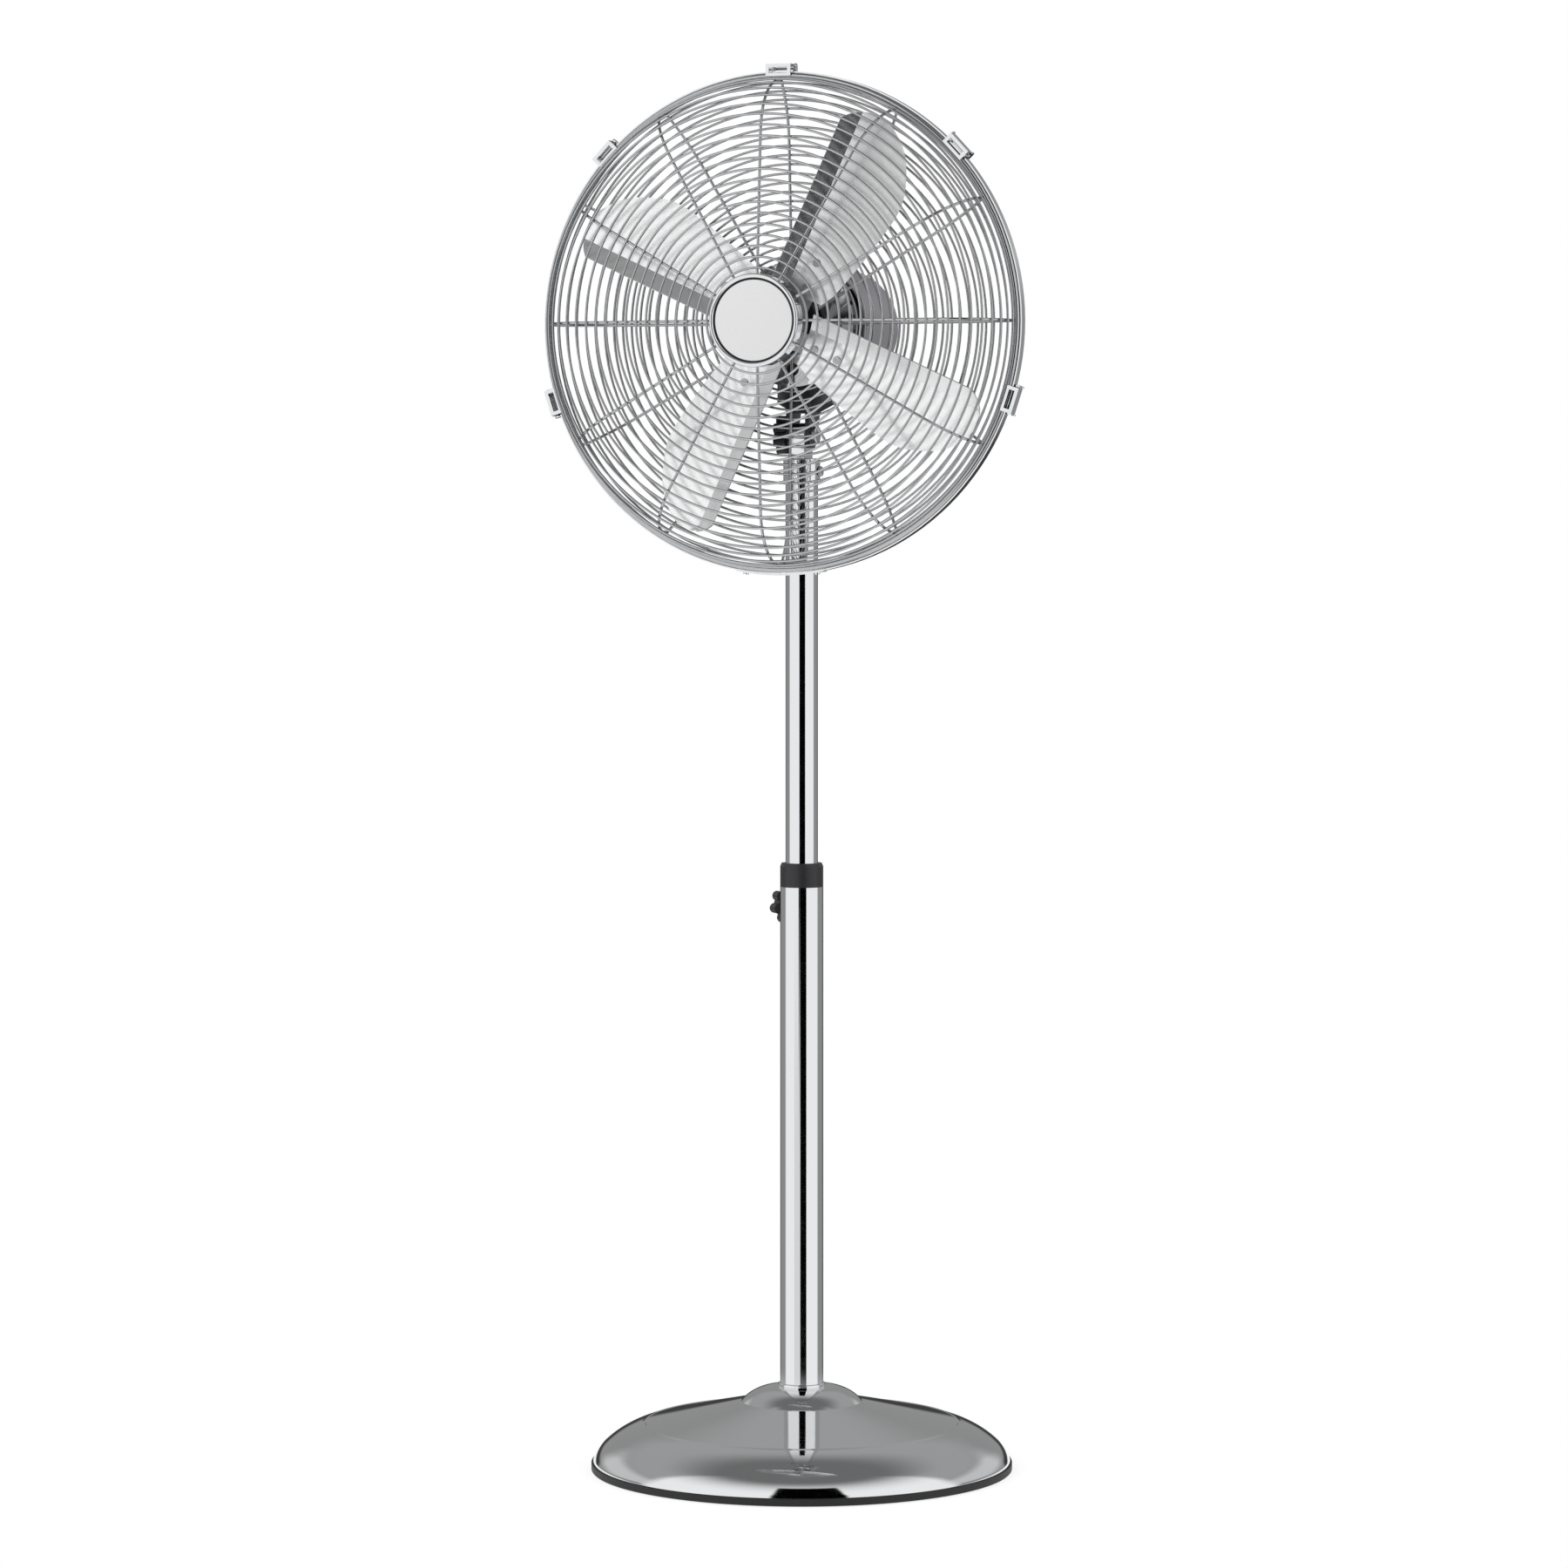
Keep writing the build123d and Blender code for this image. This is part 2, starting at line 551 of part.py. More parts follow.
with BuildPart() as inner_tube_bush:
    flange_middle = level(INNER_TUBE_BOTTOM - BUSH_FLANGE / 2)
    disc(level(INNER_TUBE_BOTTOM - BUSH_FLANGE), OUTER_BORE - RUN, BUSH_FLANGE - SKIN, bore=CABLE_HOLE)
    disc(flange_middle, INNER_BORE - SKIN, BUSH_SPIGOT + BUSH_FLANGE / 2, bore=CABLE_HOLE)
save(inner_tube_bush.part, "inner_tube_bush")

with BuildPart() as neck_socket:
    socket_bottom = level(INNER_TUBE_TOP - SOCKET_LENGTH)
    lug_height = TILT_HEIGHT - INNER_TUBE_TOP - SOCKET_CAP / 2
    disc(socket_bottom, SOCKET_RADIUS, SOCKET_LENGTH + SKIN + SOCKET_CAP)
    fillet(neck_socket.edges().group_by(Axis.Z)[-1], EDGE_ROUND)
    with BuildSketch(tilt_plane.offset(-LUG_WIDTH / 2)) as section:
        Circle(LUG_RADIUS)
        Rectangle(2 * LUG_RADIUS, lug_height, align=(Align.CENTER, Align.MAX))
    extrude(amount=LUG_WIDTH)
    disc(socket_bottom, INNER_TUBE_RADIUS + SKIN, SOCKET_LENGTH + SKIN, mode=Mode.SUBTRACT)
    disc(tilt_plane.offset(-LUG_WIDTH), TILT_BOLT_RADIUS + SKIN, 2 * LUG_WIDTH, mode=Mode.SUBTRACT)
    screw_spot = (INNER_TUBE_RADIUS + SKIN, 0, INNER_TUBE_TOP - SOCKET_LENGTH / 2)
    screw_plane = Plane(origin=screw_spot, x_dir=(0, 1, 0), z_dir=(1, 0, 0))
    disc(screw_plane.offset(-PAST), SOCKET_SCREW_RADIUS + SKIN, SOCKET_RADIUS, mode=Mode.SUBTRACT)
save(neck_socket.part, "neck_socket")

with BuildPart() as socket_screw:
    head_start = SOCKET_RADIUS + SEAT - INNER_TUBE_RADIUS
    disc(screw_plane, SOCKET_SCREW_RADIUS, head_start + PAST)
    disc(screw_plane.offset(head_start), SOCKET_SCREW_HEAD, SOCKET_SCREW_LENGTH)
    chamfer(socket_screw.edges().group_by(Axis.X)[-1], EDGE_BREAK)
save(socket_screw.part, "socket_screw")

with BuildPart() as tilt_bolt:
    bolt_start = -CHEEK_FAR - MOVE - STUD_DEPTH
    disc(tilt_plane.offset(bolt_start), TILT_BOLT_RADIUS, CHEEK_FAR + MOVE - bolt_start + PAST)
    disc(tilt_plane.offset(CHEEK_FAR + MOVE), TILT_HEAD_RADIUS, TILT_HEAD_HEIGHT)
    chamfer(tilt_bolt.edges().group_by(Axis.X)[-1], EDGE_BREAK)
save(tilt_bolt.part, "tilt_bolt")

with BuildPart() as tilt_knob:
    knob_plane = Plane(origin=(-CHEEK_FAR - MOVE, 0, TILT_HEIGHT), x_dir=(0, 1, 0), z_dir=(-1, 0, 0))
    lobed_knob(knob_plane, TILT_KNOB_RADIUS, TILT_KNOB_THICKNESS, TILT_BOLT_RADIUS + RUN)
save(tilt_knob.part, "tilt_knob")

# ============================================================================= neck
swivel_low = level(NECK_BRIDGE_BOTTOM, y=SWIVEL_Y)
bush_radius = POST_RADIUS + RUN + BUSH_WALL
bridge_rear = SWIVEL_Y + NECK_WAIST - NECK_SHOULDER
cheek_top = NECK_BRIDGE_BOTTOM + CHEEK_SHEET - TILT_HEIGHT
with BuildPart() as neck_bracket:
    with BuildSketch(tilt_plane.offset(CHEEK_NEAR)) as section:
        Circle(CHEEK_RADIUS)
        with BuildLine():
            Polyline(
                (-CHEEK_RADIUS, 0),
                (CHEEK_RADIUS, 0),
                (bridge_rear, cheek_top),
                (-CHEEK_RADIUS, cheek_top),
                close=True,
            )
        make_face()
    extrude(amount=CHEEK_SHEET)
    mirror(about=Plane.YZ)
    with BuildSketch(level(NECK_BRIDGE_BOTTOM)) as section:
        with Locations((0, -CHEEK_RADIUS)):
            Rectangle(2 * CHEEK_FAR, CHEEK_RADIUS + bridge_rear, align=(Align.CENTER, Align.MIN))
    extrude(amount=PLATFORM_TOP - PLATFORM_SHEET / 2 - NECK_BRIDGE_BOTTOM)
    with BuildSketch(Plane.XZ.offset(-SWIVEL_Y)) as section:
        with BuildLine():
            Polyline(
                (0, NECK_BRIDGE_BOTTOM),
                (NECK_WAIST, NECK_BRIDGE_BOTTOM),
                (PLATFORM_RADIUS, PLATFORM_TOP - PLATFORM_SHEET),
                (PLATFORM_RADIUS, PLATFORM_TOP),
                (0, PLATFORM_TOP),
                close=True,
            )
        make_face()
    revolve(axis=Axis((0, SWIVEL_Y, 0), (0, 0, 1)))
    with BuildSketch(level(PLATFORM_TOP - PAST, y=SWIVEL_Y)) as shield:
        with BuildLine():
            CenterArc((0, 0), PLATFORM_RADIUS, SHIELD_END - 180, 180 - 2 * SHIELD_END)
            offset(amount=SHIELD_WALL, side=Side.LEFT)
        make_face()
    extrude(shield.sketch, amount=PAST + BELL_BOTTOM - MOVE - PLATFORM_TOP)
    disc(tilt_plane.offset(-2 * LUG_WIDTH), TILT_BOLT_RADIUS + RUN, 4 * LUG_WIDTH, mode=Mode.SUBTRACT)
    disc(swivel_low, bush_radius, PLATFORM_TOP - NECK_BRIDGE_BOTTOM, mode=Mode.SUBTRACT)
    anchor_hole = level(PLATFORM_TOP - PLATFORM_SHEET / 2, ANCHOR_X, SWIVEL_Y)
    disc(anchor_hole, LINK_PIN_RADIUS + SKIN, PLATFORM_SHEET, mode=Mode.SUBTRACT)
save(neck_bracket.part, "neck_bracket")

with BuildPart() as swivel_bush:
    bush_length = PLATFORM_TOP - NECK_BRIDGE_BOTTOM + PAST
    disc(swivel_low, bush_radius - SKIN, bush_length, bore=POST_RADIUS + RUN)
    disc(level(PLATFORM_TOP + SKIN, y=SWIVEL_Y), BUSH_COLLAR, BUSH_COLLAR_SHEET, bore=POST_RADIUS + RUN)
save(swivel_bush.part, "swivel_bush")

with BuildPart() as link_anchor:
    anchor_head = level(LINK_TOP + MOVE, ANCHOR_X, SWIVEL_Y)
    anchor_length = LINK_TOP + MOVE + PAST - anchor_hole.origin.Z - SEAT
    disc(anchor_hole.offset(SEAT), LINK_PIN_RADIUS, anchor_length)
    disc(level(PLATFORM_TOP + SKIN, ANCHOR_X, SWIVEL_Y), LINK_HEAD_RADIUS, LINK_LIFT - MOVE)
    disc(anchor_head, LINK_HEAD_RADIUS, LINK_HEAD_HEIGHT)
save(link_anchor.part, "link_anchor")

with BuildPart() as link_rod:
    link_plane = Plane(
        origin=(ANCHOR_X, SWIVEL_Y, LINK_BOTTOM),
        x_dir=(math.cos(math.radians(LINK_ANGLE)), math.sin(math.radians(LINK_ANGLE)), 0),
        z_dir=(0, 0, 1),
    )
    with BuildSketch(link_plane) as section:
        Rectangle(LINK_LENGTH, LINK_WIDTH, align=(Align.MIN, Align.CENTER))
        with Locations((0, 0), (LINK_LENGTH, 0)):
            Circle(LINK_EYE_RADIUS)
        with Locations((0, 0), (LINK_LENGTH, 0)):
            Circle(LINK_PIN_RADIUS + RUN, mode=Mode.SUBTRACT)
    extrude(amount=LINK_SHEET)
save(link_rod.part, "link_rod")

# ============================================================================= motor
def screw_line(angle):
    """Plane whose normal is the axis of a rear cover screw, pointing outwards."""
    away = (math.cos(math.radians(angle)), 0, math.sin(math.radians(angle)))
    return Plane(origin=(0, COVER_SCREW_Y, FAN_HEIGHT), x_dir=(0, 1, 0), z_dir=away)


with BuildPart() as motor_housing:
    with BuildSketch(axial) as section:
        with BuildLine():
            Polyline(
                (0, BELL_REAR),
                (BELL_RADIUS, BELL_REAR),
                (BELL_RADIUS, BELL_FRONT + BELL_EDGE),
                (BELL_RADIUS - BELL_EDGE, BELL_FRONT),
                (BOSS_RADIUS, BELL_FRONT),
                (BOSS_RADIUS, BOSS_FRONT),
                (0, BOSS_FRONT),
                close=True,
            )
        make_face()
    revolve(axis=fan_axis)
    disc(facing(BELL_REAR), BELL_RADIUS - BELL_WALL, BELL_REAR - BELL_FRONT - BELL_WALL, mode=Mode.SUBTRACT)
    disc(facing(BELL_REAR), BEARING_RADIUS + SKIN, BELL_REAR - BEARING_FRONT, mode=Mode.SUBTRACT)
    disc(facing(BELL_REAR), SHAFT_RADIUS + RUN, BELL_REAR - BOSS_FRONT, mode=Mode.SUBTRACT)
    with BuildSketch(facing(BELL_FRONT + BELL_WALL)) as section:
        with PolarLocations((FACE_VENT_INNER + FACE_VENT_OUTER) / 2, BELL_VENTS // 2):
            SlotOverall(FACE_VENT_OUTER - FACE_VENT_INNER, VENT_WIDTH)
    extrude(amount=2 * BELL_WALL, mode=Mode.SUBTRACT)
    for turn in range(BELL_VENTS):
        angle = math.radians((turn + 0.5) * 360 / BELL_VENTS)
        vent = Plane(
            origin=(0, VENT_START + VENT_LENGTH / 2 + BELL_WALL, FAN_HEIGHT),
            x_dir=(0, 1, 0),
            z_dir=(math.cos(angle), 0, math.sin(angle)),
        )
        with BuildSketch(vent.offset(BELL_RADIUS - 2 * BELL_WALL)) as section:
            SlotOverall(VENT_LENGTH, VENT_WIDTH)
        extrude(section.sketch, amount=3 * BELL_WALL, mode=Mode.SUBTRACT)
    for angle in COVER_SCREW_ANGLES:
        disc(screw_line(angle), COVER_SCREW_RADIUS + SKIN, REAR_COVER_RADIUS, mode=Mode.SUBTRACT)
save(motor_housing.part, "motor_housing")

with BuildPart() as swivel_arm:
    arm_bottom = PLATFORM_TOP + SKIN + BUSH_COLLAR_SHEET + SEAT
    disc(level(NECK_BRIDGE_BOTTOM + SEAT, y=SWIVEL_Y), POST_RADIUS, arm_bottom - NECK_BRIDGE_BOTTOM)
    disc(level(arm_bottom, y=SWIVEL_Y), ARM_RADIUS, FAN_HEIGHT - BELL_RADIUS - arm_bottom + ARM_RISE)
    disc(facing(2 * BELL_REAR), BELL_RADIUS + SKIN, 4 * BELL_REAR, mode=Mode.SUBTRACT)
save(swivel_arm.part, "swivel_arm")

stator_rear = STATOR_MIDDLE + STATOR_LENGTH / 2
stator_front = STATOR_MIDDLE - STATOR_LENGTH / 2
with BuildPart() as stator_core:
    disc(facing(stator_rear), BELL_RADIUS - BELL_WALL - SKIN, STATOR_LENGTH, bore=STATOR_INNER)
save(stator_core.part, "stator_core")

with BuildPart() as stator_windings:
    for winding_rear in (stator_rear + SKIN + WINDING_LENGTH, stator_front - SKIN):
        with BuildSketch(facing(winding_rear)) as section:
            Circle(WINDING_OUTER)
            Circle(WINDING_INNER, mode=Mode.SUBTRACT)
        extrude(section.sketch, amount=WINDING_LENGTH)
    fillet(stator_windings.edges().filter_by(GeomType.CIRCLE), WINDING_ROUND)
save(stator_windings.part, "stator_windings")

with BuildPart() as motor_bearings:
    for bearing_start in (BEARING_FRONT + SEAT, END_BELL_REAR):
        bearing_rear = facing(bearing_start + BEARING_LENGTH)
        disc(bearing_rear, BEARING_RADIUS, BEARING_LENGTH, bore=SHAFT_RADIUS + RUN / 2)
save(motor_bearings.part, "motor_bearings")

box_left = -CRANK_GEAR_RADIUS - TOOTH_RISE - GEAR_CLEARANCE - GEARBOX_WALL
box_right = GEAR_OFFSET + WHEEL_RADIUS + TOOTH_RISE + GEAR_CLEARANCE + GEARBOX_WALL
box_height = GEARBOX_TOP - GEARBOX_FLOOR
wall_cut = GEARBOX_WALL + 2 * PAST
with BuildPart() as gearbox_case:
    disc(facing(END_BELL_REAR), END_BELL_RADIUS, END_BELL_SHEET)
    disc(facing(GEARBOX_FRONT + GEARBOX_WALL), BOSS_RADIUS, GEARBOX_FRONT + GEARBOX_WALL - END_BELL_FRONT)
    with Locations(((box_left + box_right) / 2, CRANK_Y, (GEARBOX_FLOOR + GEARBOX_TOP) / 2)):
        Box(box_right - box_left, 2 * GEARBOX_HALF_LENGTH, box_height)
        Box(
            box_right - box_left - 2 * GEARBOX_WALL,
            2 * (GEARBOX_HALF_LENGTH - GEARBOX_WALL),
            box_height - 2 * GEARBOX_WALL,
            mode=Mode.SUBTRACT,
        )
    bearing_seat = facing(END_BELL_REAR + BEARING_LENGTH + SEAT)
    box_top = level(GEARBOX_TOP - GEARBOX_WALL - PAST, GEAR_OFFSET, CRANK_Y)
    box_floor = level(GEARBOX_FLOOR - PAST, y=CRANK_Y)
    spindle_floor = level(GEARBOX_FLOOR - PAST, GEAR_OFFSET, CRANK_Y)
    shaft_cut = GEARBOX_REAR - END_BELL_FRONT + 2 * PAST
    disc(bearing_seat, BEARING_RADIUS + SKIN, 2 * BEARING_LENGTH, mode=Mode.SUBTRACT)
    disc(facing(GEARBOX_REAR + PAST), SHAFT_RADIUS + GEAR_CLEARANCE, shaft_cut, mode=Mode.SUBTRACT)
    disc(box_floor, CRANK_SHAFT_RADIUS + RUN, wall_cut, mode=Mode.SUBTRACT)
    disc(spindle_floor, SPINDLE_RADIUS + RUN, wall_cut, mode=Mode.SUBTRACT)
    disc(box_top, CLUTCH_ROD_RADIUS + RUN, wall_cut, mode=Mode.SUBTRACT)
save(gearbox_case.part, "gearbox_case")

cover_bend = (REAR_COVER_RADIUS - REAR_COVER_ROUND, REAR_COVER_REAR)
cover_shoulder = REAR_COVER_REAR - REAR_COVER_ROUND
switch_opening = SWITCH_NECK_RADIUS + SEAT
cover_bottom = FAN_HEIGHT - REAR_COVER_RADIUS
grommet_level = level(cover_bottom - GROMMET_LIP, y=GROMMET_Y)
clutch_line = level(FAN_HEIGHT, GEAR_OFFSET, CRANK_Y)


def switch_plane(y):
    """Plane square to the speed switch's shaft at y, facing the front."""
    return Plane(origin=(0, y, FAN_HEIGHT - SWITCH_DROP), x_dir=(1, 0, 0), z_dir=(0, -1, 0))


with BuildPart() as rear_cover:
    with BuildSketch(axial) as section:
        with BuildLine():
            wall = Line((REAR_COVER_RADIUS, REAR_COVER_FRONT), (REAR_COVER_RADIUS, cover_shoulder))
            bend = TangentArc(wall @ 1, cover_bend, tangent=(0, 1))
            Line(bend @ 1, (0, REAR_COVER_REAR))
            Line((0, REAR_COVER_REAR), (0, REAR_COVER_FRONT))
            Line((0, REAR_COVER_FRONT), wall @ 0)
        make_face()
    revolve(axis=fan_axis)
    offset(amount=-REAR_COVER_SHEET, openings=rear_cover.faces().sort_by(Axis.Y)[0])
    slot_width = LINK_SLOT_RIGHT - LINK_SLOT_LEFT
    slot_length = LINK_SLOT_REAR - REAR_COVER_FRONT + PAST
    with Locations((LINK_SLOT_LEFT + slot_width / 2, LINK_SLOT_REAR - slot_length / 2, cover_bottom)):
        Box(slot_width, slot_length, REAR_COVER_RADIUS / 2, mode=Mode.SUBTRACT)
    disc(grommet_level, GROMMET_RADIUS + SKIN, REAR_COVER_RADIUS / 2, mode=Mode.SUBTRACT)
    disc(clutch_line, CLUTCH_ROD_RADIUS + MOVE, REAR_COVER_RADIUS, mode=Mode.SUBTRACT)
    disc(switch_plane(REAR_COVER_REAR + PAST), switch_opening, REAR_COVER_ROUND, mode=Mode.SUBTRACT)
    for angle in COVER_SCREW_ANGLES:
        disc(screw_line(angle), COVER_SCREW_RADIUS + RUN, REAR_COVER_RADIUS + PAST, mode=Mode.SUBTRACT)
save(rear_cover.part, "rear_cover")

with BuildPart() as cover_screws:
    for angle in COVER_SCREW_ANGLES:
        shank = screw_line(angle).offset(BELL_RADIUS - BELL_WALL)
        head = screw_line(angle).offset(REAR_COVER_RADIUS + SKIN)
        disc(shank, COVER_SCREW_RADIUS, REAR_COVER_RADIUS - BELL_RADIUS + BELL_WALL + PAST)
        disc(head, COVER_SCREW_HEAD, COVER_SCREW_HEAD_HEIGHT)
save(cover_screws.part, "cover_screws")

with BuildPart() as cover_grommet:
    disc(grommet_level, GROMMET_RADIUS, GROMMET_LENGTH, bore=GROMMET_BORE)
    disc(grommet_level, GROMMET_FLANGE, GROMMET_LIP - SKIN, bore=GROMMET_BORE)
save(cover_grommet.part, "cover_grommet")

with BuildPart() as capacitor:
    with Locations((CAPACITOR_X, CRANK_Y, GEARBOX_TOP + SEAT)):
        Box(*CAPACITOR_SIZE, align=(Align.CENTER, Align.CENTER, Align.MIN))
    fillet(capacitor.edges().filter_by(Axis.Z), EDGE_ROUND)
save(capacitor.part, "capacitor")

with BuildPart() as speed_switch:
    switch_rear = REAR_COVER_REAR - REAR_COVER_SHEET - SEAT
    neck_rear = switch_plane(switch_rear + 2 * REAR_COVER_SHEET)
    disc(switch_plane(switch_rear), SWITCH_RADIUS, SWITCH_LENGTH)
    disc(neck_rear, SWITCH_NECK_RADIUS, 2 * REAR_COVER_SHEET + PAST)
    disc(neck_rear, SPEED_SHAFT_RADIUS + RUN, 2 * SWITCH_LENGTH, mode=Mode.SUBTRACT)
save(speed_switch.part, "speed_switch")

with BuildPart() as speed_knob:
    knob_start = REAR_COVER_REAR + REAR_COVER_SHEET + MOVE
    knob_end = knob_start + SPEED_KNOB_LENGTH
    disc(switch_plane(knob_end), SPEED_KNOB_RADIUS, SPEED_KNOB_LENGTH)
    fillet(speed_knob.edges().group_by(Axis.Y)[-1], EDGE_ROUND)
    disc(switch_plane(knob_start + PAST), SPEED_SHAFT_RADIUS, SWITCH_LENGTH / 2 + PAST)
    with Locations(switch_plane(knob_end)):
        Box(*SPEED_GRIP)
save(speed_knob.part, "speed_knob")

# ============================================================================= swing gear train
with BuildPart() as worm_wheel:
    wheel_plane = level(FAN_HEIGHT - WHEEL_HEIGHT / 2, GEAR_OFFSET, CRANK_Y)
    gear(wheel_plane, WHEEL_RADIUS, WHEEL_TEETH, WHEEL_HEIGHT)
    disc(wheel_plane, SPINDLE_RADIUS + RUN, WHEEL_HEIGHT, mode=Mode.SUBTRACT)
save(worm_wheel.part, "worm_wheel")

with BuildPart() as pinion_spindle:
    pinion_level = level(GEAR_BOTTOM, GEAR_OFFSET, CRANK_Y)
    spindle_level = level(GEARBOX_FLOOR + SEAT, GEAR_OFFSET, CRANK_Y)
    gear(pinion_level, PINION_RADIUS, PINION_TEETH, GEAR_HEIGHT, phase=180 / PINION_TEETH)
    disc(spindle_level, SPINDLE_RADIUS, FAN_HEIGHT + WHEEL_HEIGHT - GEARBOX_FLOOR)
    disc(spindle_level, CLUTCH_ROD_RADIUS + RUN, box_height, mode=Mode.SUBTRACT)
    disc(wheel_plane.offset(-MOVE), 2 * SPINDLE_RADIUS, -SPINDLE_COLLAR, bore=SPINDLE_RADIUS)
save(pinion_spindle.part, "pinion_spindle")

with BuildPart() as swing_crank:
    crank_level = CRANK_PIN_BOTTOM + LINK_LIFT
    gear(level(GEAR_BOTTOM, y=CRANK_Y), CRANK_GEAR_RADIUS, CRANK_TEETH, GEAR_HEIGHT)
    disc(level(crank_level, y=CRANK_Y), CRANK_DISC_RADIUS, CRANK_DISC_SHEET)
    disc(level(crank_level, y=CRANK_Y), CRANK_SHAFT_RADIUS, CRANK_SHAFT_TOP - crank_level)
    disc(level(CRANK_PIN_BOTTOM, *CRANK_PIN), LINK_PIN_RADIUS, LINK_LIFT + PAST)
save(swing_crank.part, "swing_crank")

with BuildPart() as clutch_knob:
    knob_bottom = FAN_HEIGHT + REAR_COVER_RADIUS + CLUTCH_GAP
    disc(level(knob_bottom, GEAR_OFFSET, CRANK_Y), CLUTCH_KNOB_RADIUS, CLUTCH_KNOB_HEIGHT)
    fillet(clutch_knob.edges().group_by(Axis.Z)[-1], EDGE_ROUND)
    disc(clutch_line, CLUTCH_ROD_RADIUS, knob_bottom - FAN_HEIGHT + PAST)
save(clutch_knob.part, "clutch_knob")

# ============================================================================= rotor
with BuildPart() as motor_shaft:
    disc(facing(SHAFT_REAR), SHAFT_RADIUS, SHAFT_REAR - SHAFT_FRONT)
    disc(facing(WORM_START + WORM_LENGTH), WORM_RADIUS, WORM_LENGTH)
    ring_pitch = WORM_LENGTH / (WORM_RINGS + 0.5)
    worm_core = WORM_RADIUS - WORM_GROOVE
    for groove in range(WORM_RINGS):
        groove_rear = facing(WORM_START + (groove + 1) * ring_pitch)
        disc(groove_rear, 2 * WORM_RADIUS, ring_pitch / 2, worm_core, Mode.SUBTRACT)
save(motor_shaft.part, "motor_shaft")

with BuildPart() as rotor_core:
    disc(facing(stator_rear), ROTOR_RADIUS, STATOR_LENGTH, bore=SHAFT_RADIUS + SKIN)
save(rotor_core.part, "rotor_core")


def blade_frame(angle):
    """Plane through the blade's trailing edge: x runs outwards, y counterclockwise, z to the front."""
    turn = math.radians(angle)
    along = (math.cos(turn), 0, math.sin(turn))
    origin = (-BLADE_OFFSET * along[2], BLADE_FRONT, FAN_HEIGHT + BLADE_OFFSET * along[0])
    return Plane(origin=origin, x_dir=along, z_dir=(0, -1, 0))


def blade_section(distance):
    """Plane across the blade at a distance from the fan axis: x is counterclockwise, y is to the front."""
    turn = math.radians(BLADE_ANGLE)
    out = (math.cos(turn), 0, math.sin(turn))
    edge = blade_frame(BLADE_ANGLE).origin
    return Plane(origin=edge + distance * Vector(*out), x_dir=(-out[2], 0, out[0]), z_dir=out)


def face_depth(offset_across):
    """Height of the blade's main face behind its trailing edge, at a sideways offset."""
    return -FACE_DROP + (offset_across - FOLD_OFFSET) * math.tan(math.radians(FACE_PITCH))


face_lean = math.radians(FACE_PITCH)
face_end = FOLD_OFFSET - FACE_WIDTH * math.cos(face_lean)
first_frame = blade_frame(BLADE_ANGLE)


def rivet_plane(distance):
    """Plane on the front of the blade's face at a rivet, z along the rivet's axis to the front."""
    across = blade_section(distance)
    origin = across.from_local_coords(Vector(RIVET_OFFSET, face_depth(RIVET_OFFSET), 0))
    normal = across.from_local_coords(Vector(-math.sin(face_lean), math.cos(face_lean), 0)) - across.origin
    return Plane(origin=origin, x_dir=across.z_dir, z_dir=normal)


with BuildPart() as blade:
    with BuildSketch(blade_section(BLADE_ROOT)) as section:
        with BuildLine():
            strip = Line((0, 0), (FOLD_OFFSET, -FACE_DROP))
            Line(strip @ 1, (face_end, face_depth(face_end)))
            offset(amount=BLADE_SHEET, side=Side.LEFT)
        make_face()
    extrude(amount=BLADE_TIP - BLADE_ROOT)
    root_near = BLADE_ROOT - BLADE_SPARE
    with BuildSketch(first_frame.offset(BLADE_SPARE)) as outline:
        with BuildLine():
            edge = Line((root_near, BLADE_SPARE), (BLADE_TIP - BLADE_CORNER_DROP, BLADE_SPARE))
            lead_points = [(BLADE_TIP - drop, across) for drop, across in BLADE_EDGE]
            tip = ThreePointArc(edge @ 1, (BLADE_TIP, BLADE_CROWN), lead_points[0])
            lead = Spline(*lead_points, (BLADE_ROOT, BLADE_ROOT_EDGE), tangents=(tip % 1, BLADE_ROOT_RUN))
            Line(lead @ 1, (root_near, BLADE_ROOT_EDGE))
            Line((root_near, BLADE_ROOT_EDGE), edge @ 0)
        make_face()
    extrude(outline.sketch, amount=-STRIP_WIDTH - FACE_WIDTH, mode=Mode.INTERSECT)
    for distance in RIVET_RADII:
        rivet_bore = rivet_plane(distance).offset(-RIVET_REACH)
        disc(rivet_bore, RIVET_RADIUS + RUN, 2 * RIVET_REACH, mode=Mode.SUBTRACT)

with BuildPart() as blades:
    for turn in range(BLADE_COUNT):
        add(blade.part.rotate(fan_axis, turn * 360 / BLADE_COUNT))
save(blades.part, "blades")

with BuildPart() as spider_arm:
    sheet_gap = BLADE_SHEET + SKIN
    with BuildSketch(rivet_plane(SPIDER_ARM_START).offset(-sheet_gap)) as section:
        Rectangle(SPIDER_ARM_END - SPIDER_ARM_START, SPIDER_ARM_WIDTH, align=(Align.MIN, Align.CENTER))
    extrude(amount=-SPIDER_SHEET)
    for distance in RIVET_RADII:
        rivet_bore = rivet_plane(distance).offset(-RIVET_REACH)
        disc(rivet_bore, RIVET_RADIUS + RUN, 2 * RIVET_REACH, mode=Mode.SUBTRACT)

with BuildPart() as blade_spider:
    disc(facing(SPIDER_FRONT + SPIDER_LENGTH), SPIDER_RADIUS, SPIDER_LENGTH)
    for turn in range(BLADE_COUNT):
        add(spider_arm.part.rotate(fan_axis, turn * 360 / BLADE_COUNT))
    spider_rear = facing(SPIDER_FRONT + SPIDER_LENGTH + PAST)
    disc(spider_rear, SHAFT_RADIUS + SKIN, SPIDER_LENGTH + 2 * PAST, mode=Mode.SUBTRACT)
save(blade_spider.part, "blade_spider")

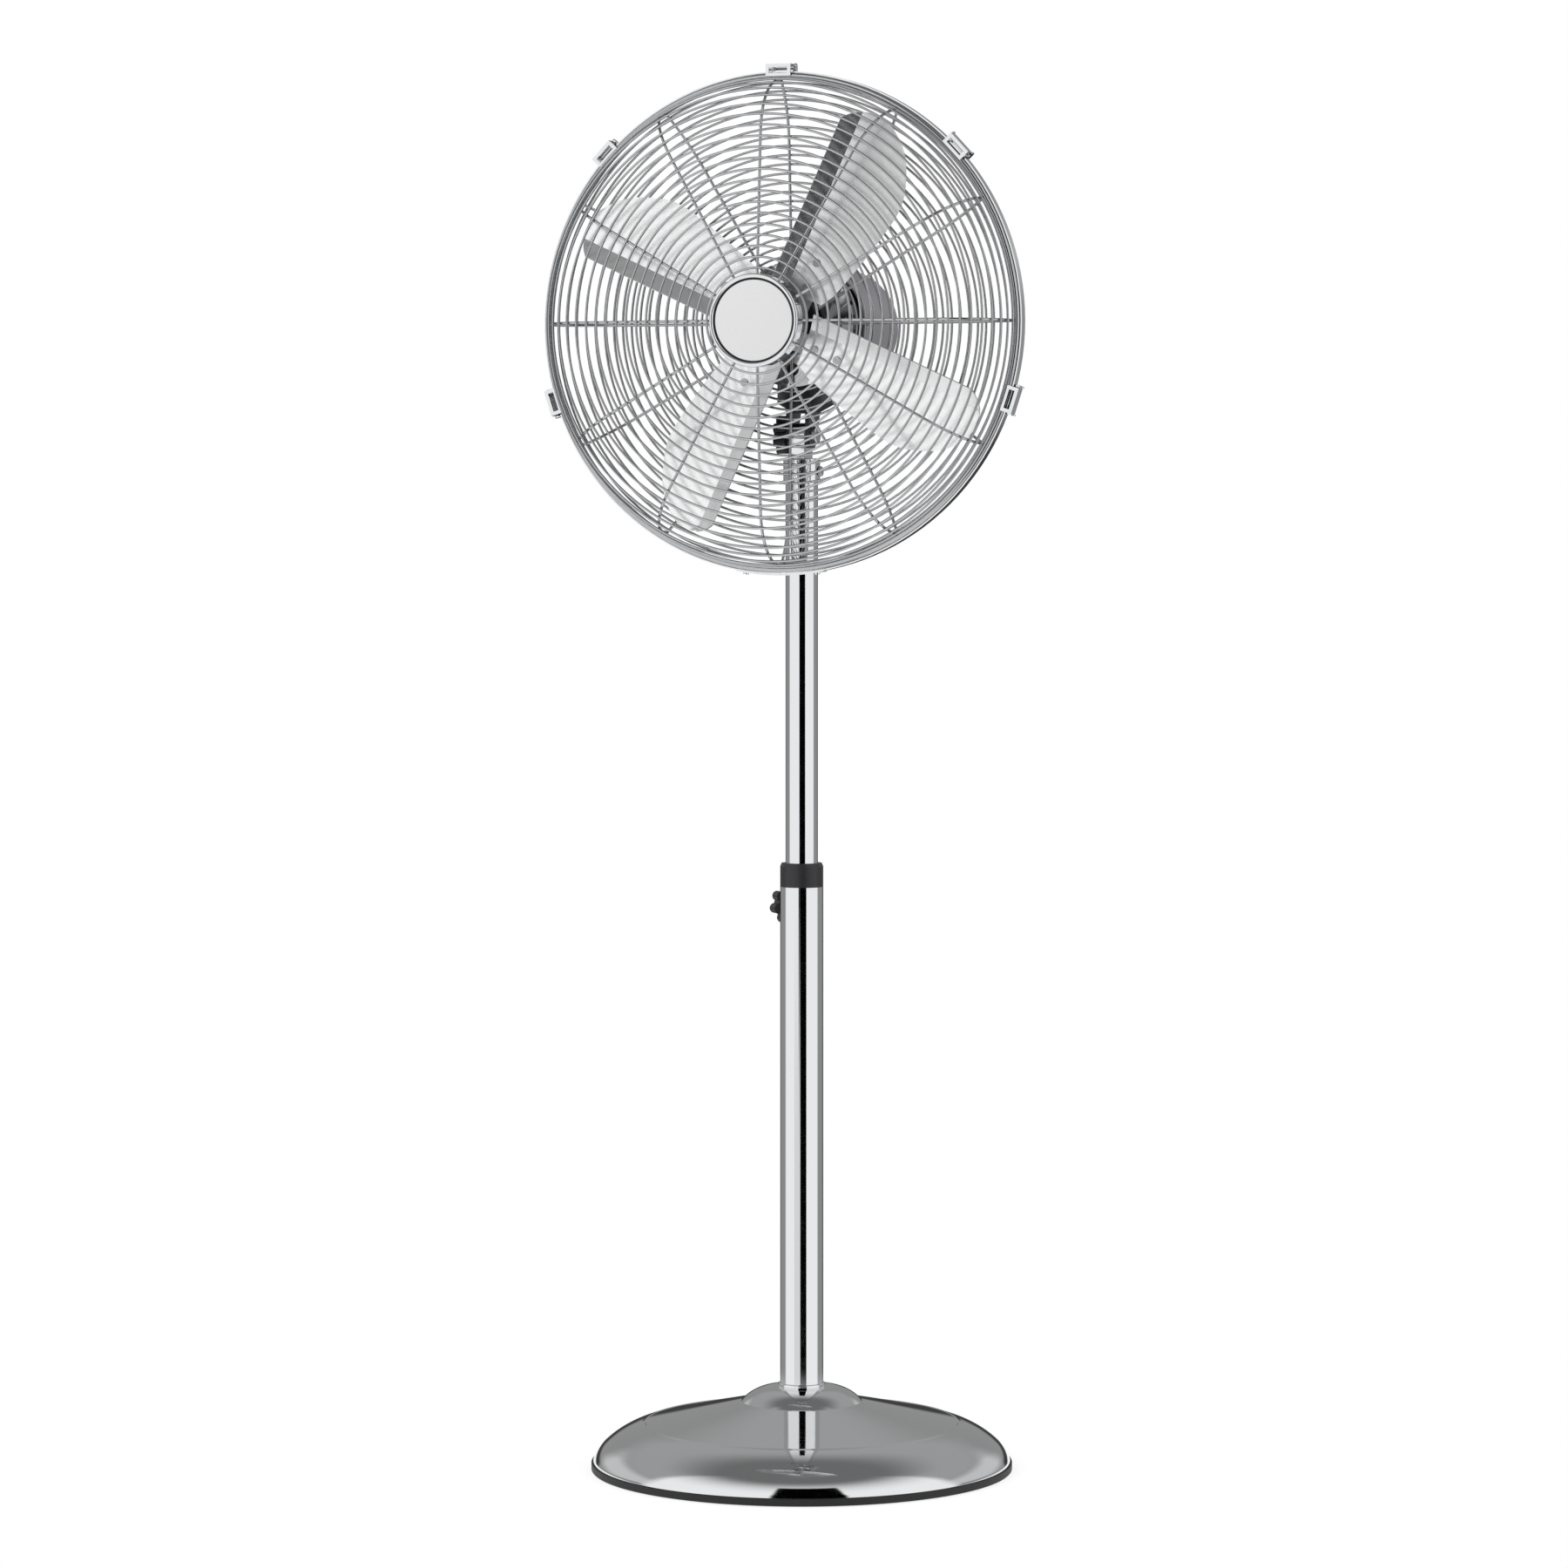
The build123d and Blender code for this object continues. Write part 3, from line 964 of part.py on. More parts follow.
with BuildPart() as rivets:
    for distance in RIVET_RADII:
        pin_length = BLADE_SHEET + SKIN + SPIDER_SHEET + 2 * SKIN
        disc(rivet_plane(distance).offset(SKIN), RIVET_HEAD, RIVET_HEAD_HEIGHT)
        disc(rivet_plane(distance).offset(SKIN), RIVET_RADIUS, -pin_length)
        disc(rivet_plane(distance).offset(SKIN - pin_length), RIVET_HEAD, -RIVET_HEAD_HEIGHT)

with BuildPart() as blade_rivets:
    for turn in range(BLADE_COUNT):
        add(rivets.part.rotate(fan_axis, turn * 360 / BLADE_COUNT))
save(blade_rivets.part, "blade_rivets")

with BuildPart() as spinner_nut:
    disc(facing(SPIDER_FRONT - SEAT), SPINNER_RADIUS, SPINNER_LENGTH)
    fillet(spinner_nut.edges().group_by(Axis.Y)[0], SPINNER_ROUND)
    disc(facing(SPIDER_FRONT), SHAFT_RADIUS + SKIN, SPIDER_FRONT - SHAFT_FRONT + SEAT, mode=Mode.SUBTRACT)
save(spinner_nut.part, "spinner_nut")

# ============================================================================= cage
def rings(profile, count, wire_side):
    """Add evenly spaced wire rings that lie against the outside of a spoke profile."""
    stand = SPOKE_WIRE + RING_WIRE + SKIN
    with BuildSketch(axial) as section:
        for index in range(count):
            along = (index + 0.5) / count
            spot = profile.position_at(along)
            run = profile.tangent_at(along)
            with Locations((spot.X - wire_side * run.Y * stand, spot.Y + wire_side * run.X * stand)):
                Circle(RING_WIRE)
    revolve(section.sketch, axis=fan_axis)


def spoke_set(path, wire_name):
    """Return the spokes of one grille: a wire swept along the profile, copied round the fan axis."""
    with BuildPart() as spoke:
        with BuildSketch(Plane(origin=path @ 0, z_dir=path % 0)) as section:
            Circle(SPOKE_WIRE)
        sweep(section.sketch, path=path)
    with BuildPart() as group:
        for turn in range(SPOKES):
            add(spoke.part.rotate(fan_axis, turn * 360 / SPOKES))
    save(group.part, wire_name)


with BuildLine() as front_profile:
    front_run = Line((BEZEL_RADIUS + SEAT, FRONT_FACE_Y), (FRONT_SHOULDER_RADIUS, FRONT_SHOULDER_Y))
    TangentArc(front_run @ 1, (SPOKE_RIM_RADIUS, FRONT_RIM_Y), tangent=front_run % 1)
with BuildLine() as rear_profile:
    rear_run = Line((REAR_SPOKE_START, REAR_FACE_Y), (REAR_SHOULDER_RADIUS, REAR_SHOULDER_Y))
    TangentArc(rear_run @ 1, (REAR_SPOKE_RIM_RADIUS, REAR_RIM_Y), tangent=rear_run % 1)
with BuildLine() as rear_ring_profile:
    plate_share = (REAR_PLATE_RADIUS - REAR_SPOKE_START) / (REAR_SHOULDER_RADIUS - REAR_SPOKE_START)
    ring_run = Line(rear_run @ plate_share, rear_run @ 1)
    TangentArc(ring_run @ 1, (REAR_SPOKE_RIM_RADIUS, REAR_RIM_Y), tangent=ring_run % 1)

spoke_set(axial.from_local_coords(front_profile.wire()), "front_grille_spokes")
spoke_set(axial.from_local_coords(rear_profile.wire()), "rear_grille_spokes")

with BuildPart() as front_grille_rings:
    rings(front_profile.wire(), FRONT_RINGS, -1)
save(front_grille_rings.part, "front_grille_rings")

with BuildPart() as rear_grille_rings:
    rings(rear_ring_profile.wire(), REAR_RINGS, 1)
save(rear_grille_rings.part, "rear_grille_rings")

with BuildPart() as grille_rims:
    with BuildSketch(axial) as section:
        with Locations((RIM_WIRE_CIRCLE, FRONT_RIM_Y)):
            Circle(FRONT_RIM_WIRE)
        with Locations((RIM_WIRE_CIRCLE, REAR_RIM_Y)):
            Circle(REAR_RIM_WIRE)
    revolve(axis=fan_axis)
save(grille_rims.part, "grille_rims")

with BuildPart() as rear_grille_plate:
    plate_rear = facing(PLATE_FRONT_Y + REAR_PLATE_SHEET)
    disc(plate_rear, REAR_PLATE_RADIUS, REAR_PLATE_SHEET, bore=BOSS_RADIUS + RUN)
    with BuildSketch(facing(BELL_FRONT)) as section:
        with PolarLocations(REAR_PLATE_HOLE_CIRCLE, REAR_PLATE_HOLES):
            Circle(REAR_PLATE_HOLE_RADIUS)
    extrude(section.sketch, amount=3 * REAR_PLATE_SHEET, mode=Mode.SUBTRACT)
save(rear_grille_plate.part, "rear_grille_plate")

with BuildPart() as grille_nut:
    nut_rear = REAR_FACE_Y - SPOKE_WIRE - 2 * SEAT
    disc(facing(nut_rear), GRILLE_NUT_RADIUS, GRILLE_NUT_LENGTH, bore=BOSS_RADIUS + SKIN)
    chamfer(grille_nut.edges().filter_by(GeomType.CIRCLE).sort_by(Axis.Y)[0], EDGE_BREAK)
save(grille_nut.part, "grille_nut")

with BuildPart() as badge_bezel:
    badge_seat = BADGE_FACE + BADGE_SHEET + SKIN
    disc(facing(BEZEL_REAR), BEZEL_RADIUS, BEZEL_REAR - BEZEL_FRONT)
    fillet(badge_bezel.edges().group_by(Axis.Y)[0], EDGE_ROUND)
    disc(facing(badge_seat), BADGE_RADIUS + RUN, BEZEL_REAR - BEZEL_FRONT, mode=Mode.SUBTRACT)
    hollow = BEZEL_REAR - badge_seat - BEZEL_PLATE
    disc(facing(BEZEL_REAR), BADGE_RADIUS - BEZEL_PLATE, hollow, mode=Mode.SUBTRACT)
save(badge_bezel.part, "badge_bezel")

with BuildPart() as front_badge:
    disc(facing(BADGE_FACE + BADGE_SHEET), BADGE_RADIUS, BADGE_SHEET)
    fillet(front_badge.edges().group_by(Axis.Y)[0], BADGE_ROUND)
save(front_badge.part, "front_badge")

with BuildPart() as rim_band:
    with BuildSketch(axial) as section:
        with Locations((BAND_OUTER, BAND_REAR)):
            Rectangle(BAND_SHEET, BAND_REAR - BAND_FRONT, align=(Align.MAX, Align.MAX))
            Rectangle(BAND_LIP, BAND_SHEET, align=(Align.MAX, Align.MAX))
    revolve(axis=fan_axis)
    with Locations((0, BAND_REAR, FAN_HEIGHT - BAND_OUTER)):
        Box(BAND_GAP, 4 * BAND_LIP, 4 * BAND_LIP, mode=Mode.SUBTRACT)
save(rim_band.part, "rim_band")


def rim_frame(angle, distance):
    """Plane that lies on the rim at an angle: x along the rim, y to the rear, z outwards."""
    turn = math.radians(angle)
    out = (math.cos(turn), 0, math.sin(turn))
    spot = (distance * out[0], 0, FAN_HEIGHT + distance * out[2])
    return Plane(origin=spot, x_dir=(out[2], 0, -out[0]), z_dir=out)


bracket_face = BAND_OUTER + SKIN
pin_distance = bracket_face + BRACKET_SHEET + CLIP_PIN_RISE
ear_start = CLIP_WIDTH / 2 + MOVE
ear_height = CLIP_PIN_RISE + BRACKET_SHEET / 2
eye_radius = CLIP_PIN_RADIUS + RUN + CLIP_EYE_WALL


def pin_line(angle):
    """Plane across the clip's pin: x to the rear, y outwards, z clockwise along the rim."""
    base = rim_frame(angle, pin_distance)
    centre = base.origin + Vector(0, CLIP_PIN_Y, 0)
    return Plane(origin=centre, x_dir=(0, 1, 0), z_dir=base.x_dir)


with BuildPart() as rim_fittings:
    for angle in CLIP_ANGLES:
        pin = pin_line(angle)
        for side in (-1, 1):
            with BuildSketch(pin.offset(side * (ear_start + EAR_SHEET / 2))) as ear:
                Circle(EAR_HALF_LENGTH)
                Rectangle(2 * EAR_HALF_LENGTH, ear_height, align=(Align.CENTER, Align.MAX))
            extrude(ear.sketch, amount=EAR_SHEET / 2, both=True)
        strap_half = math.degrees((ear_start + EAR_SHEET) / bracket_face)
        with BuildSketch(facing(CLIP_PIN_Y + EAR_HALF_LENGTH)) as strap:
            with BuildLine():
                CenterArc((0, 0), bracket_face, angle - strap_half, 2 * strap_half)
                offset(amount=BRACKET_SHEET, side=Side.RIGHT)
            make_face()
        extrude(strap.sketch, amount=2 * EAR_HALF_LENGTH)
        disc(pin.offset(-ear_start - EAR_SHEET), CLIP_PIN_RADIUS, 2 * (ear_start + EAR_SHEET))
    with BuildSketch(facing(BAND_REAR - SKIN)) as joiner:
        with BuildLine():
            CenterArc((0, 0), bracket_face, 270 - JOINER_HALF_ANGLE, 2 * JOINER_HALF_ANGLE)
            offset(amount=BRACKET_SHEET, side=Side.RIGHT)
        make_face()
    extrude(joiner.sketch, amount=BAND_REAR - BAND_FRONT - 2 * SKIN)
    for side in (-1, 1):
        seat = rim_frame(270 + side * JOINER_SCREW_ANGLE, bracket_face + BRACKET_SHEET / 2)
        seat_middle = seat.origin + Vector(0, (BAND_REAR + BAND_FRONT) / 2, 0)
        screw_head = Plane(origin=seat_middle, x_dir=seat.x_dir, z_dir=seat.z_dir)
        disc(screw_head, JOINER_SCREW_RADIUS, BRACKET_SHEET / 2 + JOINER_SCREW_HEIGHT)
save(rim_fittings.part, "rim_fittings")

for number, angle in enumerate(CLIP_ANGLES, start=1):
    hook_face = FRONT_RIM_Y - FRONT_RIM_WIRE - MOVE
    reach = CLIP_PIN_Y - hook_face + CLIP_SHEET
    with BuildPart() as rim_clip:
        with BuildSketch(pin_line(angle).offset(-CLIP_WIDTH / 2)) as section:
            Circle(eye_radius)
            with Locations((0, eye_radius)):
                Rectangle(reach, CLIP_SHEET, align=(Align.MAX, Align.MAX))
            with Locations((-reach, eye_radius)):
                Rectangle(CLIP_SHEET, CLIP_HOOK_DROP + eye_radius, align=(Align.MIN, Align.MAX))
            Circle(CLIP_PIN_RADIUS + RUN, mode=Mode.SUBTRACT)
        extrude(amount=CLIP_WIDTH)
        with BuildSketch(pin_line(angle).offset(CLIP_FRAME - CLIP_WIDTH / 2)) as window:
            with Locations((-reach - PAST, eye_radius - CLIP_FRAME)):
                Rectangle(2 * PAST + CLIP_SHEET, CLIP_HOOK_DROP - CLIP_FRAME, align=(Align.MIN, Align.MAX))
        extrude(window.sketch, amount=CLIP_WIDTH - 2 * CLIP_FRAME, mode=Mode.SUBTRACT)
    save(rim_clip.part, f"rim_clip_{number}")
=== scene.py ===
"""Pedestal fan: the finishes, the turned and moulded details, the lamps and the camera.

The construction comes packed from the frame, in metres, with +Z up and the fan blowing towards -Y.
"""

from __future__ import annotations

import json
import logging
import math
from collections.abc import Sequence
from dataclasses import dataclass, field
from enum import Enum

import bpy
from mathutils import Matrix, Vector

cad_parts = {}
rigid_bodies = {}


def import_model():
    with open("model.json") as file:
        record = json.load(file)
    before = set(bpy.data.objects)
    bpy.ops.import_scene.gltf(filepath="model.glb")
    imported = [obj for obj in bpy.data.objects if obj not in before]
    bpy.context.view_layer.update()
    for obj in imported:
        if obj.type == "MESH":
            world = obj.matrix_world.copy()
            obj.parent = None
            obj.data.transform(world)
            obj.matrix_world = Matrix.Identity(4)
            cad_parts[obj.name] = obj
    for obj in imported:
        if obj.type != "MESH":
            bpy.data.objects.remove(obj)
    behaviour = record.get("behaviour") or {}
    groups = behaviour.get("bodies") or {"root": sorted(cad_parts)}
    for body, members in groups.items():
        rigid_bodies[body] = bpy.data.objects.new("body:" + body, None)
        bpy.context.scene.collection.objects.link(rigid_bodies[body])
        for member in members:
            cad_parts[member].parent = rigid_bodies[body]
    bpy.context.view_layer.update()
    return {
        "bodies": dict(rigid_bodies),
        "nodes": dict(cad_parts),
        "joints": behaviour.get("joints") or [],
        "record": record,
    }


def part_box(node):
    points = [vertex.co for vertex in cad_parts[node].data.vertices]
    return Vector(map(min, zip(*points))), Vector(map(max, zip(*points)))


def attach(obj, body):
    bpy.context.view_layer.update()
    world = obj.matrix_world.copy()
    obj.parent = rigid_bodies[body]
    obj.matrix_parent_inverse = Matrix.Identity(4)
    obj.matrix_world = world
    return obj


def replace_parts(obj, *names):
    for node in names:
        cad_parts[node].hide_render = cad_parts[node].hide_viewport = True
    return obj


LOG = logging.getLogger("pedestal_fan")
Colour = tuple[float, float, float]
Point = tuple[float, float]
MERGE = 1e-6


class Slot(Enum):
    """The finishes that the record names."""

    CHROME_PLATE = "chrome_plate"
    CHROME_WIRE = "chrome_wire"
    CAST_WEIGHT = "cast_weight"
    ZINC_STEEL = "zinc_steel"
    CORE_STEEL = "core_steel"
    BLACK_RUBBER = "black_rubber"
    BLACK_PLASTIC = "black_plastic"
    BLACK_PAINT = "black_paint"
    SILVER_PAINT = "silver_paint"
    BLADE_METAL = "blade_metal"
    BADGE_METAL = "badge_metal"
    CAST_METAL = "cast_metal"
    COPPER_WIRE = "copper_wire"
    BUSH_PLASTIC = "bush_plastic"


# --------------------------------------------------------------------------- shader groups
class Wiring:
    """Short hands for adding nodes and links to one node tree."""

    def __init__(self, tree: bpy.types.NodeTree) -> None:
        """Keep the tree to work on."""
        self.tree = tree

    def node(self, kind: str, **settings: object) -> bpy.types.Node:
        """Add a node.

        Args:
            kind: The node's type name.
            settings: Attributes to set on it.

        Returns:
            The new node.
        """
        made = self.tree.nodes.new(kind)
        for name, value in settings.items():
            setattr(made, name, value)
        return made

    def feed(self, node: bpy.types.Node, **values: object) -> bpy.types.Node:
        """Set or link a node's inputs.

        Args:
            node: The node whose inputs are meant.
            values: Input names, with underscores for spaces, and a value or an output socket each.

        Returns:
            The same node.
        """
        for name, value in values.items():
            socket = node.inputs[name.replace("_", " ")]
            if isinstance(value, bpy.types.NodeSocket):
                self.tree.links.new(value, socket)
            else:
                socket.default_value = value
        return node

    def math(self, operation: str, *values: object) -> bpy.types.NodeSocket:
        """Add a Math node.

        Args:
            operation: The node's operation.
            values: Numbers or output sockets, in order.

        Returns:
            The node's output.
        """
        made = self.node("ShaderNodeMath", operation=operation)
        for index, value in enumerate(values):
            if isinstance(value, bpy.types.NodeSocket):
                self.tree.links.new(value, made.inputs[index])
            else:
                made.inputs[index].default_value = value
        return made.outputs[0]

    def ramp(
        self, value: bpy.types.NodeSocket, start: float, end: float, low: float, high: float
    ) -> bpy.types.NodeSocket:
        """Add a smooth step from one level to another.

        Args:
            value: The number that drives the step.
            start: Where the step starts.
            end: Where it ends.
            low: The level before it.
            high: The level after it.

        Returns:
            The stepped number.
        """
        made = self.node("ShaderNodeMapRange", interpolation_type="SMOOTHSTEP")
        self.feed(made, Value=value, From_Min=start, From_Max=end, To_Min=low, To_Max=high)
        return made.outputs["Result"]


@dataclass
class ShaderGroups:
    """The shader node groups that several finishes share."""

    made: dict[str, bpy.types.NodeTree] = field(default_factory=dict)

    def _start(
        self, name: str, inputs: dict[str, float], outputs: dict[str, str]
    ) -> tuple[Wiring, bpy.types.Node, bpy.types.Node]:
        """Open a new group with named sockets.

        Args:
            name: The group's name.
            inputs: Input names with their defaults, all plain numbers.
            outputs: Output names with their socket types.

        Returns:
            The group's wiring, its input node and its output node.
        """
        tree = bpy.data.node_groups.new(name, "ShaderNodeTree")
        for label, default in inputs.items():
            socket = tree.interface.new_socket(label, in_out="INPUT", socket_type="NodeSocketFloat")
            socket.default_value = default
        for label, kind in outputs.items():
            tree.interface.new_socket(label, in_out="OUTPUT", socket_type=kind)
        wiring = Wiring(tree)
        self.made[name] = tree
        return wiring, wiring.node("NodeGroupInput"), wiring.node("NodeGroupOutput")

    def grain(self) -> bpy.types.NodeTree:
        """Return the group for fine grain: roughness between two levels, and a height.

        Returns:
            The node group, built the first time.
        """
        if "surface_grain" in self.made:
            return self.made["surface_grain"]
        inputs = {"Scale": 200.0, "Stretch": 1.0, "Low": 0.3, "High": 0.4}
        outputs = {"Roughness": "NodeSocketFloat", "Height": "NodeSocketFloat"}
        wiring, start, end = self._start("surface_grain", inputs, outputs)
        place = wiring.node("ShaderNodeTexCoord")
        stretch = wiring.node("ShaderNodeCombineXYZ")
        wiring.feed(stretch, X=1.0, Y=1.0, Z=start.outputs["Stretch"])
        spot = wiring.node("ShaderNodeVectorMath", operation="MULTIPLY")
        wiring.tree.links.new(place.outputs["Object"], spot.inputs[0])
        wiring.tree.links.new(stretch.outputs[0], spot.inputs[1])
        noise = wiring.node("ShaderNodeTexNoise")
        wiring.feed(noise, Vector=spot.outputs[0], Scale=start.outputs["Scale"], Detail=4.0, Roughness=0.6)
        blend = wiring.node("ShaderNodeMapRange")
        wiring.feed(blend, Value=noise.outputs["Fac"], From_Min=0.3, From_Max=0.7)
        wiring.feed(blend, To_Min=start.outputs["Low"], To_Max=start.outputs["High"])
        wiring.feed(end, Roughness=blend.outputs["Result"], Height=noise.outputs["Fac"])
        return self.made["surface_grain"]

    def dust(self) -> bpy.types.NodeTree:
        """Return the group for a faint film that lies on faces that look up.

        Returns:
            The node group, built the first time. Its output is a mask.
        """
        if "settled_film" in self.made:
            return self.made["settled_film"]
        wiring, start, end = self._start(
            "settled_film", {"Amount": 0.05, "Scale": 40.0}, {"Mask": "NodeSocketFloat"}
        )
        place = wiring.node("ShaderNodeTexCoord")
        facing = wiring.node("ShaderNodeSeparateXYZ")
        wiring.tree.links.new(wiring.node("ShaderNodeNewGeometry").outputs["Normal"], facing.inputs[0])
        noise = wiring.node("ShaderNodeTexNoise")
        wiring.feed(noise, Vector=place.outputs["Object"], Scale=start.outputs["Scale"], Detail=3.0)
        up = wiring.ramp(facing.outputs["Z"], 0.2, 0.95, 0.0, 1.0)
        spots = wiring.ramp(noise.outputs["Fac"], 0.35, 0.7, 0.3, 1.0)
        mask = wiring.math("MULTIPLY", wiring.math("MULTIPLY", up, spots), start.outputs["Amount"])
        wiring.feed(end, Mask=mask)
        return self.made["settled_film"]

    def turning(self) -> bpy.types.NodeTree:
        """Return the group for the fine rings that a lathe or a circular brush leaves round the fan axis.

        Returns:
            The node group, built the first time. Its outputs are a tone and a height.
        """
        if "circular_brushing" in self.made:
            return self.made["circular_brushing"]
        inputs = {"Centre X": 0.0, "Centre Z": 0.0, "Rings": 900.0}
        outputs = {"Tone": "NodeSocketFloat", "Height": "NodeSocketFloat"}
        wiring, start, end = self._start("circular_brushing", inputs, outputs)
        place = wiring.node("ShaderNodeTexCoord")
        split = wiring.node("ShaderNodeSeparateXYZ")
        wiring.tree.links.new(place.outputs["Object"], split.inputs[0])
        across = wiring.math("SUBTRACT", split.outputs["X"], start.outputs["Centre X"])
        rise = wiring.math("SUBTRACT", split.outputs["Z"], start.outputs["Centre Z"])
        squares = wiring.math("ADD", wiring.math("POWER", across, 2.0), wiring.math("POWER", rise, 2.0))
        radius = wiring.math("SQRT", squares)
        noise = wiring.node("ShaderNodeTexNoise", noise_dimensions="1D")
        wiring.feed(noise, W=radius, Scale=start.outputs["Rings"], Detail=3.0, Roughness=0.7)
        wiring.feed(end, Tone=noise.outputs["Fac"], Height=noise.outputs["Fac"])
        return self.made["circular_brushing"]


# --------------------------------------------------------------------------- finishes
@dataclass(frozen=True)
class Finish:
    """A finish with grain in its roughness and surface, and a faint film on top.

    Lengths are in metres and grain scales are in cycles per metre.
    """

    slot: Slot
    colour: Colour
    metallic: float
    low: float
    high: float
    grain: float
    relief: float
    stretch: float = 1.0
    film: float = 0.0
    second: Colour | None = None
    coat: float = 0.0

    def build(self, groups: ShaderGroups) -> bpy.types.Material:
        """Make the material.

        Args:
            groups: The shared shader groups.

        Returns:
            The finished material.
        """
        material = bpy.data.materials.new(self.slot.value)
        material.use_nodes = True
        wiring = Wiring(material.node_tree)
        shader = material.node_tree.nodes["Principled BSDF"]
        grain = wiring.node("ShaderNodeGroup", node_tree=groups.grain())
        wiring.feed(grain, Scale=self.grain, Stretch=self.stretch, Low=self.low, High=self.high)
        bump = wiring.node("ShaderNodeBump")
        wiring.feed(bump, Strength=0.5, Distance=self.relief, Height=grain.outputs["Height"])
        wiring.feed(shader, Metallic=self.metallic, Coat_Weight=self.coat)
        wiring.feed(shader, Roughness=grain.outputs["Roughness"], Normal=bump.outputs["Normal"])
        tint = wiring.node("ShaderNodeMix", data_type="RGBA")
        tint.inputs["A"].default_value = (*self.colour, 1.0)
        tint.inputs["B"].default_value = (*(self.second or self.colour), 1.0)
        if self.film:
            film = wiring.node("ShaderNodeGroup", node_tree=groups.dust())
            wiring.feed(film, Amount=self.film)
            material.node_tree.links.new(film.outputs["Mask"], tint.inputs["Factor"])
        else:
            material.node_tree.links.new(grain.outputs["Height"], tint.inputs["Factor"])
        wiring.feed(shader, Base_Color=tint.outputs["Result"])
        return material


@dataclass(frozen=True)
class BrushedDisc:
    """The badge's pale plate, brushed in fine circles about the fan axis."""

    slot: Slot
    pale: Colour
    deep: Colour
    roughness: float
    centre: tuple[float, float]

    def build(self, groups: ShaderGroups) -> bpy.types.Material:
        """Make the material.

        Args:
            groups: The shared shader groups.

        Returns:
            The finished material.
        """
        material = bpy.data.materials.new(self.slot.value)
        material.use_nodes = True
        wiring = Wiring(material.node_tree)
        shader = material.node_tree.nodes["Principled BSDF"]
        brushing = wiring.node("ShaderNodeGroup", node_tree=groups.turning())
        wiring.feed(brushing, Centre_X=self.centre[0], Centre_Z=self.centre[1])
        tint = wiring.node("ShaderNodeMix", data_type="RGBA")
        tint.inputs["A"].default_value = (*self.deep, 1.0)
        tint.inputs["B"].default_value = (*self.pale, 1.0)
        material.node_tree.links.new(brushing.outputs["Tone"], tint.inputs["Factor"])
        rough = wiring.ramp(brushing.outputs["Tone"], 0.2, 0.8, self.roughness + 0.06, self.roughness)
        bump = wiring.node("ShaderNodeBump")
        wiring.feed(bump, Strength=0.25, Distance=0.00005, Height=brushing.outputs["Height"])
        wiring.feed(shader, Metallic=0.55, Roughness=rough, Normal=bump.outputs["Normal"])
        wiring.feed(shader, Base_Color=tint.outputs["Result"])
        return material


FINISHES = (
    Finish(
        slot=Slot.CHROME_PLATE, colour=(0.79, 0.80, 0.81), metallic=1.0, low=0.035, high=0.075,
        grain=55.0, relief=0.00002, film=0.05, second=(0.62, 0.62, 0.61),
    ),
    Finish(
        slot=Slot.CHROME_WIRE, colour=(0.56, 0.565, 0.575), metallic=1.0, low=0.10, high=0.17,
        grain=400.0, relief=0.00003, second=(0.42, 0.425, 0.435),
    ),
    Finish(
        slot=Slot.CAST_WEIGHT, colour=(0.10, 0.10, 0.105), metallic=0.3, low=0.6, high=0.8, grain=500.0,
        relief=0.0004, second=(0.15, 0.14, 0.14),
    ),
    Finish(
        slot=Slot.ZINC_STEEL, colour=(0.58, 0.59, 0.60), metallic=1.0, low=0.22, high=0.36, grain=350.0,
        relief=0.00004, second=(0.48, 0.49, 0.52),
    ),
    Finish(
        slot=Slot.CORE_STEEL, colour=(0.36, 0.36, 0.38), metallic=1.0, low=0.35, high=0.5, grain=90.0,
        relief=0.0001, stretch=14.0, second=(0.24, 0.25, 0.28),
    ),
    Finish(
        slot=Slot.BLACK_RUBBER, colour=(0.006, 0.006, 0.007), metallic=0.0, low=0.5, high=0.66,
        grain=700.0, relief=0.0001, film=0.05, second=(0.04, 0.04, 0.04),
    ),
    Finish(
        slot=Slot.BLACK_PLASTIC, colour=(0.013, 0.013, 0.015), metallic=0.0, low=0.32, high=0.46,
        grain=900.0, relief=0.0001, film=0.06, second=(0.06, 0.06, 0.06),
    ),
    Finish(
        slot=Slot.BLACK_PAINT, colour=(0.018, 0.018, 0.02), metallic=0.0, low=0.3, high=0.42,
        grain=600.0, relief=0.00008, film=0.06, second=(0.06, 0.06, 0.06), coat=0.2,
    ),
    Finish(
        slot=Slot.SILVER_PAINT, colour=(0.26, 0.25, 0.28), metallic=0.35, low=0.34, high=0.46,
        grain=1200.0, relief=0.00006, film=0.05, second=(0.34, 0.33, 0.36),
    ),
    Finish(
        slot=Slot.BLADE_METAL, colour=(0.97, 0.975, 0.98), metallic=1.0, low=0.12, high=0.17,
        grain=160.0, relief=0.0, second=(0.95, 0.955, 0.96),
    ),
    Finish(
        slot=Slot.CAST_METAL, colour=(0.50, 0.50, 0.51), metallic=1.0, low=0.38, high=0.55, grain=420.0,
        relief=0.0002, second=(0.42, 0.42, 0.43),
    ),
    Finish(
        slot=Slot.COPPER_WIRE, colour=(0.52, 0.20, 0.07), metallic=1.0, low=0.25, high=0.4, grain=180.0,
        relief=0.0003, stretch=6.0, second=(0.34, 0.12, 0.05),
    ),
    Finish(
        slot=Slot.BUSH_PLASTIC, colour=(0.72, 0.71, 0.66), metallic=0.0, low=0.4, high=0.5, grain=300.0,
        relief=0.00005, second=(0.66, 0.65, 0.60),
    ),
)


